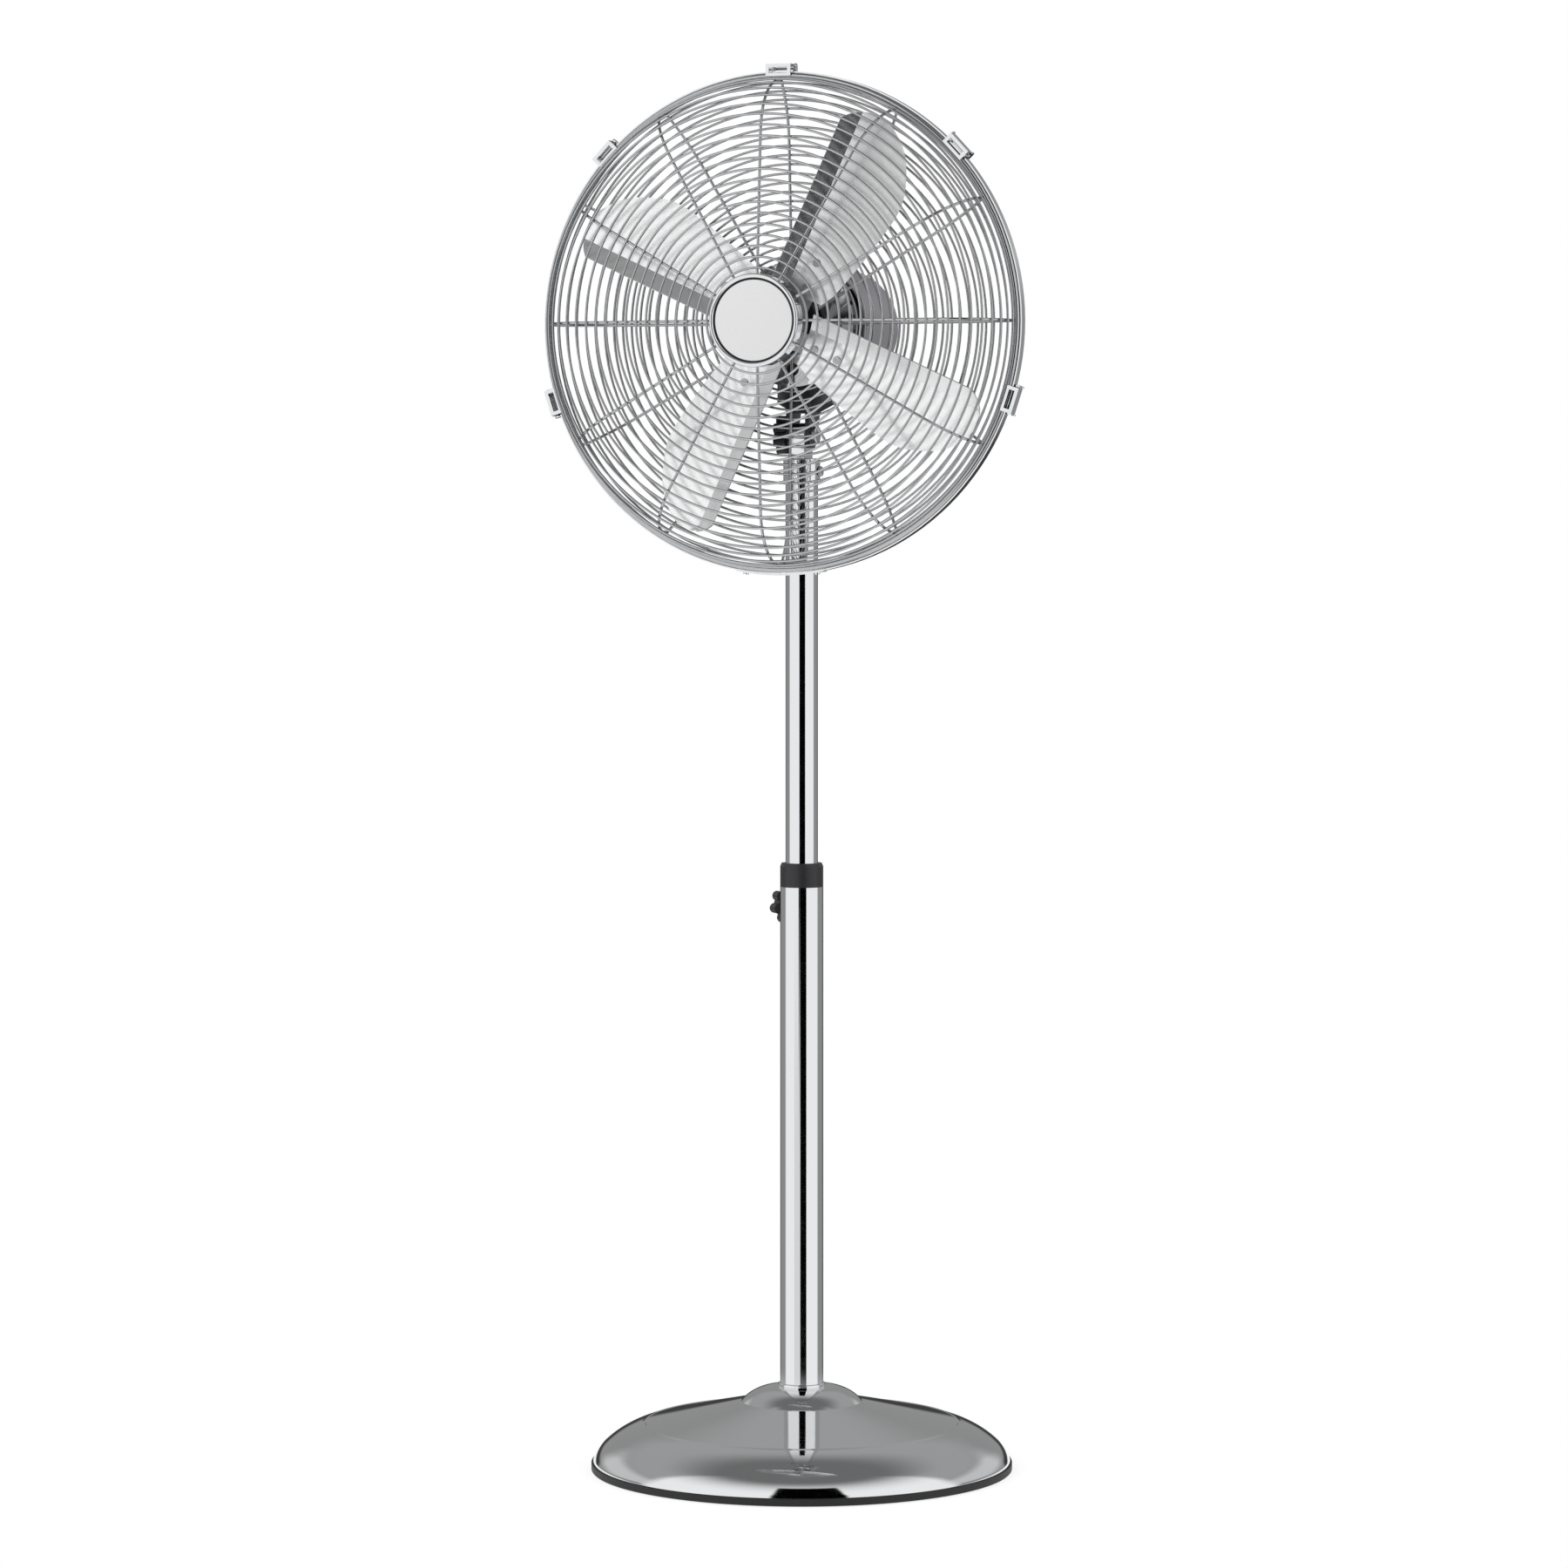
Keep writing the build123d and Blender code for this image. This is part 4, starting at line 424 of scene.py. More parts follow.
@dataclass
class Wardrobe:
    """All finishes, each built once."""

    centre: tuple[float, float]
    groups: ShaderGroups = field(default_factory=ShaderGroups)
    made: dict[Slot, bpy.types.Material] = field(default_factory=dict)

    def build(self) -> None:
        """Make every finish."""
        for finish in FINISHES:
            self.made[finish.slot] = finish.build(self.groups)
        badge = BrushedDisc(
            slot=Slot.BADGE_METAL, pale=(0.80, 0.80, 0.80), deep=(0.70, 0.70, 0.71), roughness=0.34,
            centre=self.centre,
        )
        self.made[badge.slot] = badge.build(self.groups)
        LOG.info("built %d finishes", len(self.made))

    def dress(self, piece: bpy.types.Object, slot: Slot) -> None:
        """Give a piece one finish all over.

        Args:
            piece: The mesh object.
            slot: The finish.
        """
        piece.data.materials.clear()
        piece.data.materials.append(self.made[slot])

    def dress_nodes(self, frame: dict) -> None:
        """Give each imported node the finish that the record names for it.
        """
        for part in frame["record"]["subparts"]:
            node = frame["nodes"][part["node"]]
            slot = Slot(part["material_slot"])
            for index in range(len(node.material_slots)):
                node.material_slots[index].link = "DATA"
                node.material_slots[index].material = self.made[slot]
            LOG.info("dressed %s in %s", part["node"], slot.value)


# --------------------------------------------------------------------------- modelling
def arc(start: Point, middle: Point, end: Point, count: int) -> list[Point]:
    """Return points on the arc through three points, without the first.

    Args:
        start: Where the arc starts.
        middle: A point on it.
        end: Where it ends.
        count: How many points to return.

    Returns:
        The points, evenly spaced, the last one at the end.
    """
    (ax, ay), (bx, by), (cx, cy) = start, middle, end
    twice = 2.0 * (ax * (by - cy) + bx * (cy - ay) + cx * (ay - by))
    far_a, far_b, far_c = ax * ax + ay * ay, bx * bx + by * by, cx * cx + cy * cy
    mx = (far_a * (by - cy) + far_b * (cy - ay) + far_c * (ay - by)) / twice
    my = (far_a * (cx - bx) + far_b * (ax - cx) + far_c * (bx - ax)) / twice
    radius = math.hypot(ax - mx, ay - my)
    first = math.atan2(ay - my, ax - mx)
    sweep = math.remainder(math.atan2(cy - my, cx - mx) - first, math.tau)
    angles = [first + sweep * step / count for step in range(1, count + 1)]
    return [(mx + radius * math.cos(angle), my + radius * math.sin(angle)) for angle in angles]


def tangent_arc(start: Point, heading: Point, end: Point, count: int) -> list[Point]:
    """Return points on the arc that leaves a point along a heading, without the first.

    Args:
        start: Where the arc starts.
        heading: Its direction there.
        end: Where it ends.
        count: How many points to return.

    Returns:
        The points, evenly spaced, the last one at the end.
    """
    chord = Vector(end) - Vector(start)
    ahead = Vector(heading).normalized()
    side = Vector((-ahead.y, ahead.x))
    radius = chord.length_squared / (2.0 * chord.dot(side))
    centre = Vector(start) + radius * side
    halfway = (Vector(start) + chord / 2.0 - centre).normalized() * abs(radius)
    return arc(start, tuple(centre + halfway), end, count)


class Bench:
    """The modelling steps that several pieces share."""

    @staticmethod
    def turned(
        name: str, profile: Sequence[Point], centre: Vector, axis: Vector, steps: int = 144
    ) -> bpy.types.Object:
        """Turn a profile about an axis, ring by ring.

        Args:
            name: The piece's name.
            profile: Radius and height along the axis of each ring. A last radius of zero closes a pole,
                and a last ring equal to the first closes the section.
            centre: The point on the axis at height zero.
            axis: The axis, of length one.
            steps: How many faces go round.

        Returns:
            The piece, with its first ring open unless the section is closed.
        """
        bpy.ops.object.select_all(action="DESELECT")
        radius, height = profile[0]
        lean = axis.to_track_quat("Z", "Y").to_euler()
        start = centre + height * axis
        bpy.ops.mesh.primitive_circle_add(vertices=steps, radius=radius, location=start, rotation=lean)
        piece = bpy.context.object
        piece.name = name
        bpy.ops.object.transform_apply(location=True, rotation=True, scale=True)
        bpy.ops.object.mode_set(mode="EDIT")
        bpy.ops.mesh.select_mode(type="EDGE")
        bpy.ops.mesh.select_all(action="SELECT")
        for next_radius, next_height in profile[1:]:
            bpy.ops.mesh.extrude_edges_move(TRANSFORM_OT_translate={"value": (next_height - height) * axis})
            scale = next_radius / radius
            bpy.ops.transform.resize(value=(scale, scale, scale), center_override=centre + next_height * axis)
            radius, height = next_radius, next_height
        Bench.clean()
        return piece

    @staticmethod
    def clean() -> None:
        """Merge what coincides in the mesh being edited, point its faces outwards and leave edit mode."""
        bpy.ops.mesh.select_all(action="SELECT")
        bpy.ops.mesh.remove_doubles(threshold=MERGE)
        bpy.ops.mesh.select_all(action="SELECT")
        bpy.ops.mesh.normals_make_consistent(inside=False)
        bpy.ops.object.mode_set(mode="OBJECT")

    @staticmethod
    def fill_opening(piece: bpy.types.Object) -> None:
        """Close the one open ring of a piece.

        Args:
            piece: The piece.
        """
        Bench.choose(piece)
        bpy.ops.object.mode_set(mode="EDIT")
        bpy.ops.mesh.select_mode(type="EDGE")
        bpy.ops.mesh.select_all(action="DESELECT")
        bpy.ops.mesh.select_non_manifold()
        bpy.ops.mesh.edge_face_add()
        Bench.clean()

    @staticmethod
    def choose(piece: bpy.types.Object) -> None:
        """Select one piece alone.

        Args:
            piece: The piece.
        """
        bpy.ops.object.select_all(action="DESELECT")
        piece.select_set(True)
        bpy.context.view_layer.objects.active = piece

    @staticmethod
    def thicken(piece: bpy.types.Object, sheet: float) -> None:
        """Give an open sheet its thickness, behind its faces.

        Args:
            piece: The sheet.
            sheet: Its thickness.
        """
        Bench.choose(piece)
        wall = piece.modifiers.new("sheet", "SOLIDIFY")
        wall.thickness = sheet
        wall.offset = -1.0
        wall.use_even_offset = True
        bpy.ops.object.modifier_apply(modifier=wall.name)

    @staticmethod
    def ease(piece: bpy.types.Object, width: float, angle: float) -> None:
        """Round the sharp edges of a piece.

        Args:
            piece: The piece.
            width: The width of the rounding.
            angle: How sharp an edge has to be, in degrees.
        """
        Bench.choose(piece)
        bevel = piece.modifiers.new("edges", "BEVEL")
        bevel.width = width
        bevel.segments = 2
        bevel.limit_method = "ANGLE"
        bevel.angle_limit = math.radians(angle)
        bpy.ops.object.modifier_apply(modifier=bevel.name)

    @staticmethod
    def smooth(piece: bpy.types.Object, angle: float) -> None:
        """Shade a piece smooth, except across sharp edges.

        Args:
            piece: The piece.
            angle: The sharpest edge that is smoothed, in degrees.
        """
        Bench.choose(piece)
        bpy.ops.object.shade_smooth_by_angle(angle=math.radians(angle))


# --------------------------------------------------------------------------- pieces
@dataclass
class BaseCover:
    """The pressed cover of the base: a dome, a cone with a crease round it, a shoulder and a skirt."""

    inner: float = 0.0203
    top: Point = (0.026, 0.077)
    foot_of_dome: Point = (0.056, 0.0635)
    ridge: Point = (0.146, 0.0435)
    ridge_lift: float = 0.0005
    ridge_width: float = 0.0014
    shoulder: Point = (0.167, 0.0356)
    shoulder_end: Point = (0.182, 0.0255)
    skirt: Point = (0.1932, 0.0095)
    hem: float = 0.00555
    sheet: float = 0.0012
    dome_steps: int = 14
    shoulder_steps: int = 16
    skirt_steps: int = 12
    steps: int = 192
    smooth_angle: float = 24.0

    def outline(self) -> list[Point]:
        """Return the outer profile from the column to the floor.

        Returns:
            Radius and height of each ring.
        """
        cone = Vector(self.ridge) - Vector(self.foot_of_dome)
        slope = cone.y / cone.x
        inside, outside = self.ridge[0] - self.ridge_width, self.ridge[0] + self.ridge_width
        half = self.ridge_width / 2.0
        crease = [
            (inside, self.ridge[1] - slope * self.ridge_width),
            (inside + half, self.ridge[1] - slope * half + self.ridge_lift),
            (self.ridge[0], self.ridge[1] + self.ridge_lift),
            (outside, self.ridge[1] + slope * self.ridge_width),
        ]
        shoulder = arc(self.ridge, self.shoulder, self.shoulder_end, self.shoulder_steps)
        heading = tuple(Vector(shoulder[-1]) - Vector(shoulder[-2]))
        points = [(self.inner, self.top[1]), self.top]
        points += tangent_arc(self.top, (1.0, 0.0), self.foot_of_dome, self.dome_steps)
        points += crease
        points += [point for point in shoulder if point[0] > outside]
        points += tangent_arc(self.shoulder_end, heading, self.skirt, self.skirt_steps)
        points.append((self.skirt[0], self.hem))
        return points

    def build(self, wardrobe: Wardrobe) -> None:
        """Make the cover and dress it.

        Args:
            wardrobe: The finishes.
        """
        upright = Vector((0.0, 0.0, 1.0))
        cover = Bench.turned("cover_pressing", self.outline(), Vector((0.0, 0.0, 0.0)), upright, self.steps)
        Bench.thicken(cover, self.sheet)
        Bench.smooth(cover, self.smooth_angle)
        wardrobe.dress(cover, Slot.CHROME_PLATE)
        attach(cover, "stand")
        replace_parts(cover, "base_cover")
        LOG.info("built cover_pressing")


@dataclass
class FrontDisc:
    """The bare disc at the middle of the front grille, its plated bezel, and a black ring in the gap between
    them that is painted shade, standing in for the shadow in that narrow groove.
    """

    centre: Vector
    outer: float = 0.0425
    bezel_rear: float = 0.126
    bezel_front: float = 0.141
    lip: float = 0.0405
    bezel_inner: float = 0.0385
    back_wall: float = 0.0015
    seat: float = 0.1376
    disc: float = 0.0367
    disc_rim: float = 0.1387
    crown: float = 0.1394
    rolled_edge: Point = (0.0004, 0.0003)
    crown_shares: tuple[float, ...] = (0.9, 0.75, 0.5, 0.25, 0.0)
    # Where the front of the black ring in the gap lies; the bezel's inner lip ends there. The ring is painted
    # shade for the shadow in the groove.
    shade_ring: float = 0.1384
    bezel_steps: int = 8
    rolled_steps: int = 3
    smooth_angle: float = 40.0

    def _turn(self, name: str, profile: Sequence[Point], slot: Slot, wardrobe: Wardrobe) -> bpy.types.Object:
        """Turn one of the pieces about the fan axis, close its back, dress it and let it ride the head.

        Args:
            name: The piece's name.
            profile: Radius and distance to the front of each ring.
            slot: Its finish.
            wardrobe: The finishes.

        Returns:
            The piece.
        """
        piece = Bench.turned(name, profile, self.centre, Vector((0.0, -1.0, 0.0)))
        Bench.fill_opening(piece)
        Bench.smooth(piece, self.smooth_angle)
        wardrobe.dress(piece, slot)
        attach(piece, "head")
        LOG.info("built %s", name)
        return piece

    def build(self, wardrobe: Wardrobe) -> None:
        """Make the three pieces.

        Args:
            wardrobe: The finishes.
        """
        corner = self.bezel_front - (self.outer - self.lip)
        wall = self.disc - self.back_wall
        bezel = [(wall, self.seat - self.back_wall), (wall, self.bezel_rear)]
        bezel += [(self.outer, self.bezel_rear), (self.outer, corner)]
        bezel += tangent_arc((self.outer, corner), (0.0, 1.0), (self.lip, self.bezel_front), self.bezel_steps)
        inner = (self.bezel_inner, self.shade_ring)
        bezel += tangent_arc((self.lip, self.bezel_front), (-1.0, 0.0), inner, self.bezel_steps)
        bezel += [(self.bezel_inner, self.seat), (0.0, self.seat)]
        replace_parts(self._turn("bezel_ring", bezel, Slot.CHROME_PLATE, wardrobe), "badge_bezel")
        disc = [(self.disc, self.seat), (self.disc, self.disc_rim)]
        inset, lift = self.rolled_edge
        rolled = (self.disc - inset, self.disc_rim + lift)
        disc += tangent_arc((self.disc, self.disc_rim), (0.0, 1.0), rolled, self.rolled_steps)
        rise = self.crown - self.disc_rim - lift
        for share in self.crown_shares:
            disc.append((self.disc * share, self.crown - rise * share * share))
        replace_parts(self._turn("bare_disc", disc, Slot.BADGE_METAL, wardrobe), "front_badge")
        # A black ring down in the gap between the disc and the bezel: painted shade, a dark piece standing in
        # for the shadow in that groove.
        shade_ring = [(self.disc, self.seat), (self.bezel_inner, self.seat), (self.bezel_inner, self.shade_ring)]
        shade_ring += [(self.disc, self.shade_ring), (self.disc, self.seat)]
        ring = Bench.turned("painted_shade_ring", shade_ring, self.centre, Vector((0.0, -1.0, 0.0)))
        wardrobe.dress(ring, Slot.BLACK_RUBBER)
        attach(ring, "head")
        LOG.info("built painted_shade_ring")


@dataclass
class BladeSet:
    """The four pressed blades: a steep strip along the trailing edge, and a cambered face."""

    centre: Vector
    count: int = 4
    first: float = 65.3
    shift: float = 0.021
    front: float = -0.0746
    strip_width: float = 0.017
    strip_pitch: float = 34.0
    face_width: float = 0.065
    face_pitch: Point = (10.0, 14.0)
    root: float = 0.030
    tip: float = 0.209
    corner_drop: float = 0.014
    crown: float = -0.020
    leading: tuple[Point, ...] = (
        (0.030, -0.049), (0.045, -0.057), (0.112, -0.075), (0.146, -0.079),
        (0.178, -0.069), (0.194, -0.058), (0.2045, -0.045),
    )
    sheet: float = 0.0012
    stations: int = 56
    strip_columns: int = 5
    face_columns: int = 18
    tip_steps: int = 240
    crease_angle: float = 60.0
    smooth_angle: float = 18.0

    def _edges(self, distance: float) -> Point:
        """Return where the trailing and the leading edge lie at a distance from the fan axis.

        Args:
            distance: The distance along the blade.

        Returns:
            The two sideways places, counterclockwise positive, from the straight trailing edge.
        """
        end = self.leading[-1]
        tip_arc = [(self.tip - self.corner_drop, 0.0)]
        tip_arc += arc(tip_arc[0], (self.tip, self.crown), end, self.tip_steps)
        near = [point for point in tip_arc if point[1] >= self.crown]
        far = [point for point in tip_arc if point[1] <= self.crown]
        trailing = 0.0 if distance <= near[0][0] else self._read(sorted(near), distance)
        if distance > end[0]:
            return trailing, self._read(sorted(far), distance)
        points = self.leading
        for index in range(len(points) - 1):
            if distance <= points[index + 1][0]:
                break
        before, after = points[index], points[index + 1]
        slopes = []
        for place in (index, index + 1):
            left, right = points[max(place - 1, 0)], points[min(place + 1, len(points) - 1)]
            slopes.append((right[1] - left[1]) / (right[0] - left[0]))
        span = after[0] - before[0]
        share = (distance - before[0]) / span
        cube, square = share**3, share**2
        across = (2 * cube - 3 * square + 1) * before[1] + (cube - 2 * square + share) * span * slopes[0]
        across += (3 * square - 2 * cube) * after[1] + (cube - square) * span * slopes[1]
        return trailing, across

    @staticmethod
    def _read(points: list[Point], distance: float) -> float:
        """Read a place off a chain of points by straight lines.

        Args:
            points: The chain, by rising distance.
            distance: Where to read it.

        Returns:
            The sideways place.
        """
        for before, after in zip(points, points[1:]):
            if distance <= after[0]:
                share = (distance - before[0]) / max(after[0] - before[0], 1e-9)
                return before[1] + share * (after[1] - before[1])
        return points[-1][1]

    def _depth(self, across: float) -> float:
        """Return how far the sheet lies behind its trailing edge.

        Args:
            across: The sideways place, negative towards the leading edge.

        Returns:
            The depth.
        """
        fold = self.strip_width * math.cos(math.radians(self.strip_pitch))
        drop = self.strip_width * math.sin(math.radians(self.strip_pitch))
        if -across <= fold:
            return -across / fold * drop
        run = -across - fold
        start, end = (math.tan(math.radians(pitch)) for pitch in self.face_pitch)
        return drop + run * start + run * run / (2.0 * self.face_width) * (end - start)

    def _shape(self, blade: bpy.types.Object) -> None:
        """Move a flat grid's points onto the pressed shape of the first blade.

        Args:
            blade: The grid, with one unit to its side.
        """
        fold = -self.strip_width * math.cos(math.radians(self.strip_pitch))
        angle = math.radians(self.first)
        out = Vector((math.cos(angle), 0.0, math.sin(angle)))
        left = Vector((-math.sin(angle), 0.0, math.cos(angle)))
        columns = self.strip_columns + self.face_columns
        for vertex in blade.data.vertices:
            share = 1.0 - (0.5 - vertex.co.x) ** 2
            distance = self.root + (self.tip - self.root) * share
            trailing, leading = self._edges(min(distance, self.tip - MERGE))
            crease = min(max(fold, leading), trailing)
            column = (vertex.co.y + 0.5) * columns
            if column <= self.strip_columns:
                across = trailing + (crease - trailing) * column / self.strip_columns
            else:
                across = crease + (leading - crease) * (column - self.strip_columns) / self.face_columns
            place = self.centre + distance * out + (self.shift + across) * left
            vertex.co = Vector((place.x, self.front + self._depth(across), place.z))

    def build(self, wardrobe: Wardrobe) -> None:
        """Press the first blade, copy it round the hub and dress the set.

        Args:
            wardrobe: The finishes.
        """
        bpy.ops.object.select_all(action="DESELECT")
        columns = self.strip_columns + self.face_columns
        bpy.ops.mesh.primitive_grid_add(x_subdivisions=self.stations, y_subdivisions=columns, size=1.0)
        blade = bpy.context.object
        blade.name = "pressed_blades"
        self._shape(blade)
        Bench.choose(blade)
        bpy.ops.object.mode_set(mode="EDIT")
        Bench.clean()
        if sum(face.normal.y for face in blade.data.polygons) > 0.0:
            blade.data.flip_normals()
        Bench.thicken(blade, self.sheet)
        Bench.ease(blade, self.sheet / 4.0, self.crease_angle)
        Bench.smooth(blade, self.smooth_angle)
        Bench.choose(blade)
        turn = math.tau / self.count
        for number in range(1, self.count):
            copy = blade.copy()
            copy.data = blade.data.copy()
            about = Matrix.Translation(self.centre) @ Matrix.Rotation(-number * turn, 4, "Y")
            copy.data.transform(about @ Matrix.Translation(-self.centre))
            bpy.context.scene.collection.objects.link(copy)
            copy.select_set(True)
        bpy.ops.object.join()
        wardrobe.dress(blade, Slot.BLADE_METAL)
        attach(blade, "rotor")
        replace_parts(blade, "blades")
        LOG.info("built pressed_blades")


# --------------------------------------------------------------------------- studio
@dataclass(frozen=True)
class Panel:
    """A patch of the surroundings that only gloss sees.

    The angles are in degrees: the turn is counted from the view direction, positive to the viewer's
    right, and the rise from the horizon. The patch fades over its softness, in turn and in rise.
    """

    turn: Point
    rise: Point
    tone: float
    soft: Point


@dataclass
class Studio:
    """The floor, the surroundings, the lamps and the camera. Lengths are in metres."""

    view: float = 18.3
    distance: float = 5.01
    eye: float = 0.902
    focal: float = 6200.0 / 1800.0 * 36.0
    shift: Point = (-0.0113, -0.1835)
    floor_radius: float = 0.7
    floor_fade: Point = (0.28, 0.6)
    room_tone: float = 0.30
    panels: tuple[Panel, ...] = (
        Panel(turn=(-200.0, 200.0), rise=(27.0, 95.0), tone=0.38, soft=(5.0, 7.0)),
        Panel(turn=(-200.0, 200.0), rise=(56.0, 95.0), tone=0.17, soft=(5.0, 12.0)),
        Panel(turn=(-200.0, 200.0), rise=(-95.0, -18.0), tone=0.90, soft=(5.0, 6.0)),
        Panel(turn=(-150.0, -84.0), rise=(7.0, 26.0), tone=0.62, soft=(8.0, 5.0)),
        Panel(turn=(84.0, 150.0), rise=(7.0, 26.0), tone=0.62, soft=(8.0, 5.0)),
        Panel(turn=(-96.0, 94.0), rise=(-95.0, 52.0), tone=1.0, soft=(6.0, 20.0)),
        Panel(turn=(8.0, 58.0), rise=(-46.0, -15.0), tone=0.02, soft=(5.0, 4.0)),
        Panel(turn=(-17.0, 25.0), rise=(-11.5, 52.0), tone=0.0, soft=(1.5, 1.5)),
        Panel(turn=(-40.0, -8.0), rise=(-17.0, -5.5), tone=0.8, soft=(2.0, 1.5)),
        Panel(turn=(150.0, 200.0), rise=(-60.0, 4.0), tone=0.05, soft=(3.0, 2.0)),
        Panel(turn=(-200.0, -150.0), rise=(-60.0, 4.0), tone=0.05, soft=(3.0, 2.0)),
    )

    def _away(self, turn: float, distance: float, height: float) -> Vector:
        """Return a place round the object.

        Args:
            turn: Degrees from the view direction, positive to the viewer's right.
            distance: How far from the column.
            height: How high.

        Returns:
            The point.
        """
        angle = math.radians(self.view + turn)
        return Vector((distance * math.sin(angle), -distance * math.cos(angle), height))

    def camera(self) -> None:
        """Place the camera, level, with the shift that frames the whole fan."""
        lens = bpy.data.cameras.new("view")
        lens.sensor_width = 36.0
        lens.lens = self.focal
        lens.shift_x, lens.shift_y = self.shift
        lens.clip_end = 60.0
        camera = bpy.data.objects.new("view", lens)
        camera.location = self._away(turn=0.0, distance=self.distance, height=self.eye)
        camera.rotation_euler = (math.pi / 2, 0.0, math.radians(self.view))
        bpy.context.scene.collection.objects.link(camera)
        bpy.context.scene.camera = camera

    def floor(self) -> None:
        """Lay a pale round floor that melts into the white surroundings and takes the fan's shadow."""
        bpy.ops.object.select_all(action="DESELECT")
        bpy.ops.mesh.primitive_circle_add(vertices=96, radius=self.floor_radius, fill_type="NGON")
        floor = bpy.context.object
        floor.name = "studio_floor"
        material = bpy.data.materials.new("studio_floor")
        material.use_nodes = True
        wiring = Wiring(material.node_tree)
        links = material.node_tree.links
        material.node_tree.nodes.clear()
        light = wiring.node("ShaderNodeLightPath")
        seen = wiring.math("MAXIMUM", light.outputs["Is Camera Ray"], light.outputs["Is Glossy Ray"])
        seen = wiring.math("MAXIMUM", seen, light.outputs["Is Transmission Ray"])
        glow = wiring.node("ShaderNodeEmission")
        wiring.feed(glow, Color=(1.0, 1.0, 1.0, 1.0), Strength=0.82)
        shade = wiring.node("ShaderNodeBsdfDiffuse")
        wiring.feed(shade, Color=(0.2, 0.2, 0.2, 1.0))
        pale = wiring.node("ShaderNodeAddShader")
        links.new(glow.outputs[0], pale.inputs[0])
        links.new(shade.outputs[0], pale.inputs[1])
        plain = wiring.node("ShaderNodeBsdfDiffuse")
        wiring.feed(plain, Color=(0.75, 0.75, 0.75, 1.0))
        mix = wiring.node("ShaderNodeMixShader")
        links.new(seen, mix.inputs[0])
        links.new(plain.outputs[0], mix.inputs[1])
        links.new(pale.outputs[0], mix.inputs[2])
        place = wiring.node("ShaderNodeTexCoord")
        reach = wiring.node("ShaderNodeVectorMath", operation="LENGTH")
        links.new(place.outputs["Object"], reach.inputs[0])
        fade = wiring.ramp(reach.outputs["Value"], *self.floor_fade, 0.0, 1.0)
        clear = wiring.node("ShaderNodeBsdfTransparent")
        edge = wiring.node("ShaderNodeMixShader")
        links.new(fade, edge.inputs[0])
        links.new(mix.outputs[0], edge.inputs[1])
        links.new(clear.outputs[0], edge.inputs[2])
        end = wiring.node("ShaderNodeOutputMaterial")
        links.new(edge.outputs[0], end.inputs["Surface"])
        floor.data.materials.append(material)

    def _panel(
        self, wiring: Wiring, level: object, turn: object, rise: object, panel: Panel
    ) -> bpy.types.NodeSocket:
        """Lay one panel over the tones so far.

        Args:
            wiring: The world's wiring.
            level: The tone so far, a number or a socket.
            turn: The socket with the turn in degrees.
            rise: The socket with the rise in degrees.
            panel: The panel.

        Returns:
            The new tone.
        """
        blur, fade = panel.soft
        mask = wiring.ramp(turn, panel.turn[0] - blur, panel.turn[0] + blur, 0.0, 1.0)
        edges = (
            wiring.ramp(turn, panel.turn[1] - blur, panel.turn[1] + blur, 1.0, 0.0),
            wiring.ramp(rise, panel.rise[0] - fade, panel.rise[0] + fade, 0.0, 1.0),
            wiring.ramp(rise, panel.rise[1] - fade, panel.rise[1] + fade, 1.0, 0.0),
        )
        for edge in edges:
            mask = wiring.math("MULTIPLY", mask, edge)
        mixed = wiring.node("ShaderNodeMix", data_type="FLOAT")
        wiring.tree.links.new(mask, mixed.inputs["Factor"])
        if isinstance(level, bpy.types.NodeSocket):
            wiring.tree.links.new(level, mixed.inputs["A"])
        else:
            mixed.inputs["A"].default_value = level
        mixed.inputs["B"].default_value = panel.tone
        return mixed.outputs["Result"]

    def surroundings(self) -> None:
        """Set the world: white behind the fan, plain for matt surfaces, and panels for gloss."""
        world = bpy.data.worlds.new("studio")
        bpy.context.scene.world = world
        world.use_nodes = True
        tree = world.node_tree
        tree.nodes.clear()
        wiring = Wiring(tree)
        place = wiring.node("ShaderNodeTexCoord")
        turned = wiring.node("ShaderNodeVectorRotate", rotation_type="Z_AXIS")
        wiring.feed(turned, Vector=place.outputs["Generated"], Angle=-math.radians(self.view))
        split = wiring.node("ShaderNodeSeparateXYZ")
        tree.links.new(turned.outputs[0], split.inputs[0])
        towards = wiring.math("MULTIPLY", split.outputs["Y"], -1.0)
        turn = wiring.math("DEGREES", wiring.math("ARCTAN2", split.outputs["X"], towards))
        rise = wiring.math("DEGREES", wiring.math("ARCSINE", split.outputs["Z"]))
        level: object = self.room_tone
        for panel in self.panels:
            level = self._panel(wiring, level, turn, rise, panel)
        light = wiring.node("ShaderNodeLightPath")
        seen = wiring.math("MAXIMUM", light.outputs["Is Camera Ray"], light.outputs["Is Transmission Ray"])
        white = (1.0, 1.0, 1.0, 1.0)
        gloss = wiring.feed(wiring.node("ShaderNodeBackground"), Color=white, Strength=level)
        plain = wiring.feed(wiring.node("ShaderNodeBackground"), Color=white, Strength=0.72)
        blank = wiring.feed(wiring.node("ShaderNodeBackground"), Color=white, Strength=1.0)
        shiny = wiring.node("ShaderNodeMixShader")
        tree.links.new(light.outputs["Is Glossy Ray"], shiny.inputs[0])
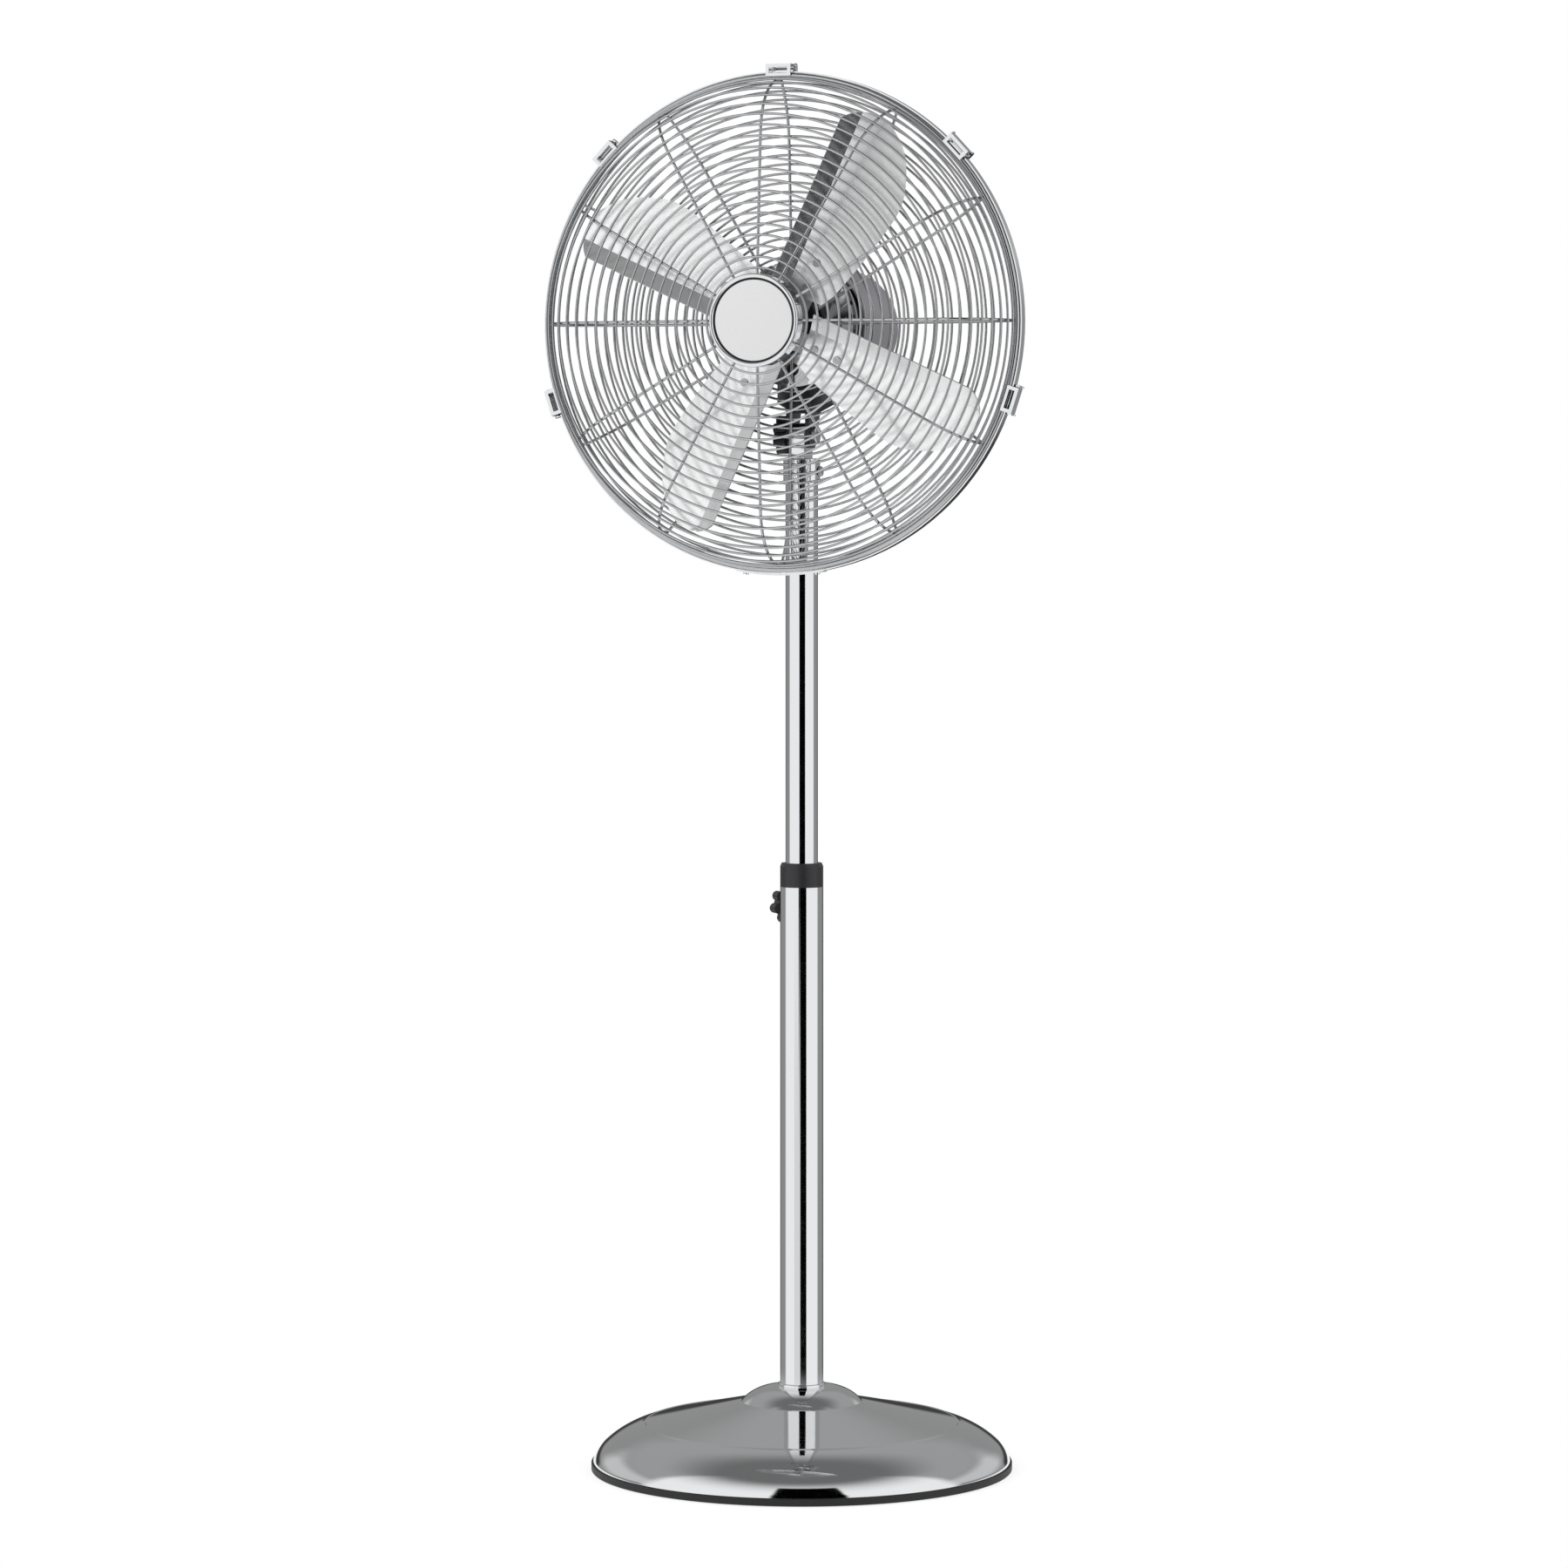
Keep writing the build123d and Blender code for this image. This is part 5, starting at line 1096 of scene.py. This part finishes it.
        tree.links.new(plain.outputs[0], shiny.inputs[1])
        tree.links.new(gloss.outputs[0], shiny.inputs[2])
        final = wiring.node("ShaderNodeMixShader")
        tree.links.new(seen, final.inputs[0])
        tree.links.new(shiny.outputs[0], final.inputs[1])
        tree.links.new(blank.outputs[0], final.inputs[2])
        end = wiring.node("ShaderNodeOutputWorld")
        tree.links.new(final.outputs[0], end.inputs["Surface"])

    def lamp(self, name: str, place: Vector, size: float, power: float) -> None:
        """Hang a soft square lamp that looks at the middle of the fan.

        Args:
            name: The lamp's name.
            place: Where it hangs.
            size: Its side.
            power: Its power in watts.
        """
        light = bpy.data.lights.new(name, "AREA")
        light.size = size
        light.energy = power
        lamp = bpy.data.objects.new(name, light)
        lamp.location = place
        aim = Vector((0.0, 0.0, 0.8)) - place
        lamp.rotation_euler = aim.to_track_quat("-Z", "Y").to_euler()
        lamp.visible_glossy = False
        bpy.context.scene.collection.objects.link(lamp)

    def lamps(self) -> None:
        """Hang the two lamps."""
        self.lamp(
            name="left_lamp", place=self._away(turn=-50.0, distance=3.2, height=2.6), size=2.0,
            power=60.0,
        )
        self.lamp(
            name="right_lamp", place=self._away(turn=60.0, distance=3.4, height=2.2), size=2.0,
            power=35.0,
        )

    def build(self) -> None:
        """Set up the whole studio."""
        self.floor()
        self.surroundings()
        self.lamps()
        self.camera()
        LOG.info("studio ready")


def main() -> None:
    """Dress the fan, build its details and set up the studio."""
    logging.basicConfig(level=logging.INFO, format="%(name)s: %(message)s")
    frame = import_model()
    bpy.context.scene.view_settings.view_transform = "Standard"
    low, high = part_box("front_badge")
    wardrobe = Wardrobe(((low.x + high.x) / 2, (low.z + high.z) / 2))
    wardrobe.build()
    wardrobe.dress_nodes(frame)
    fan_centre = Vector(((low.x + high.x) / 2, 0.0, (low.z + high.z) / 2))
    BaseCover().build(wardrobe)
    FrontDisc(fan_centre).build(wardrobe)
    BladeSet(fan_centre).build(wardrobe)
    Studio().build()


if __name__ == "__main__":
    main()
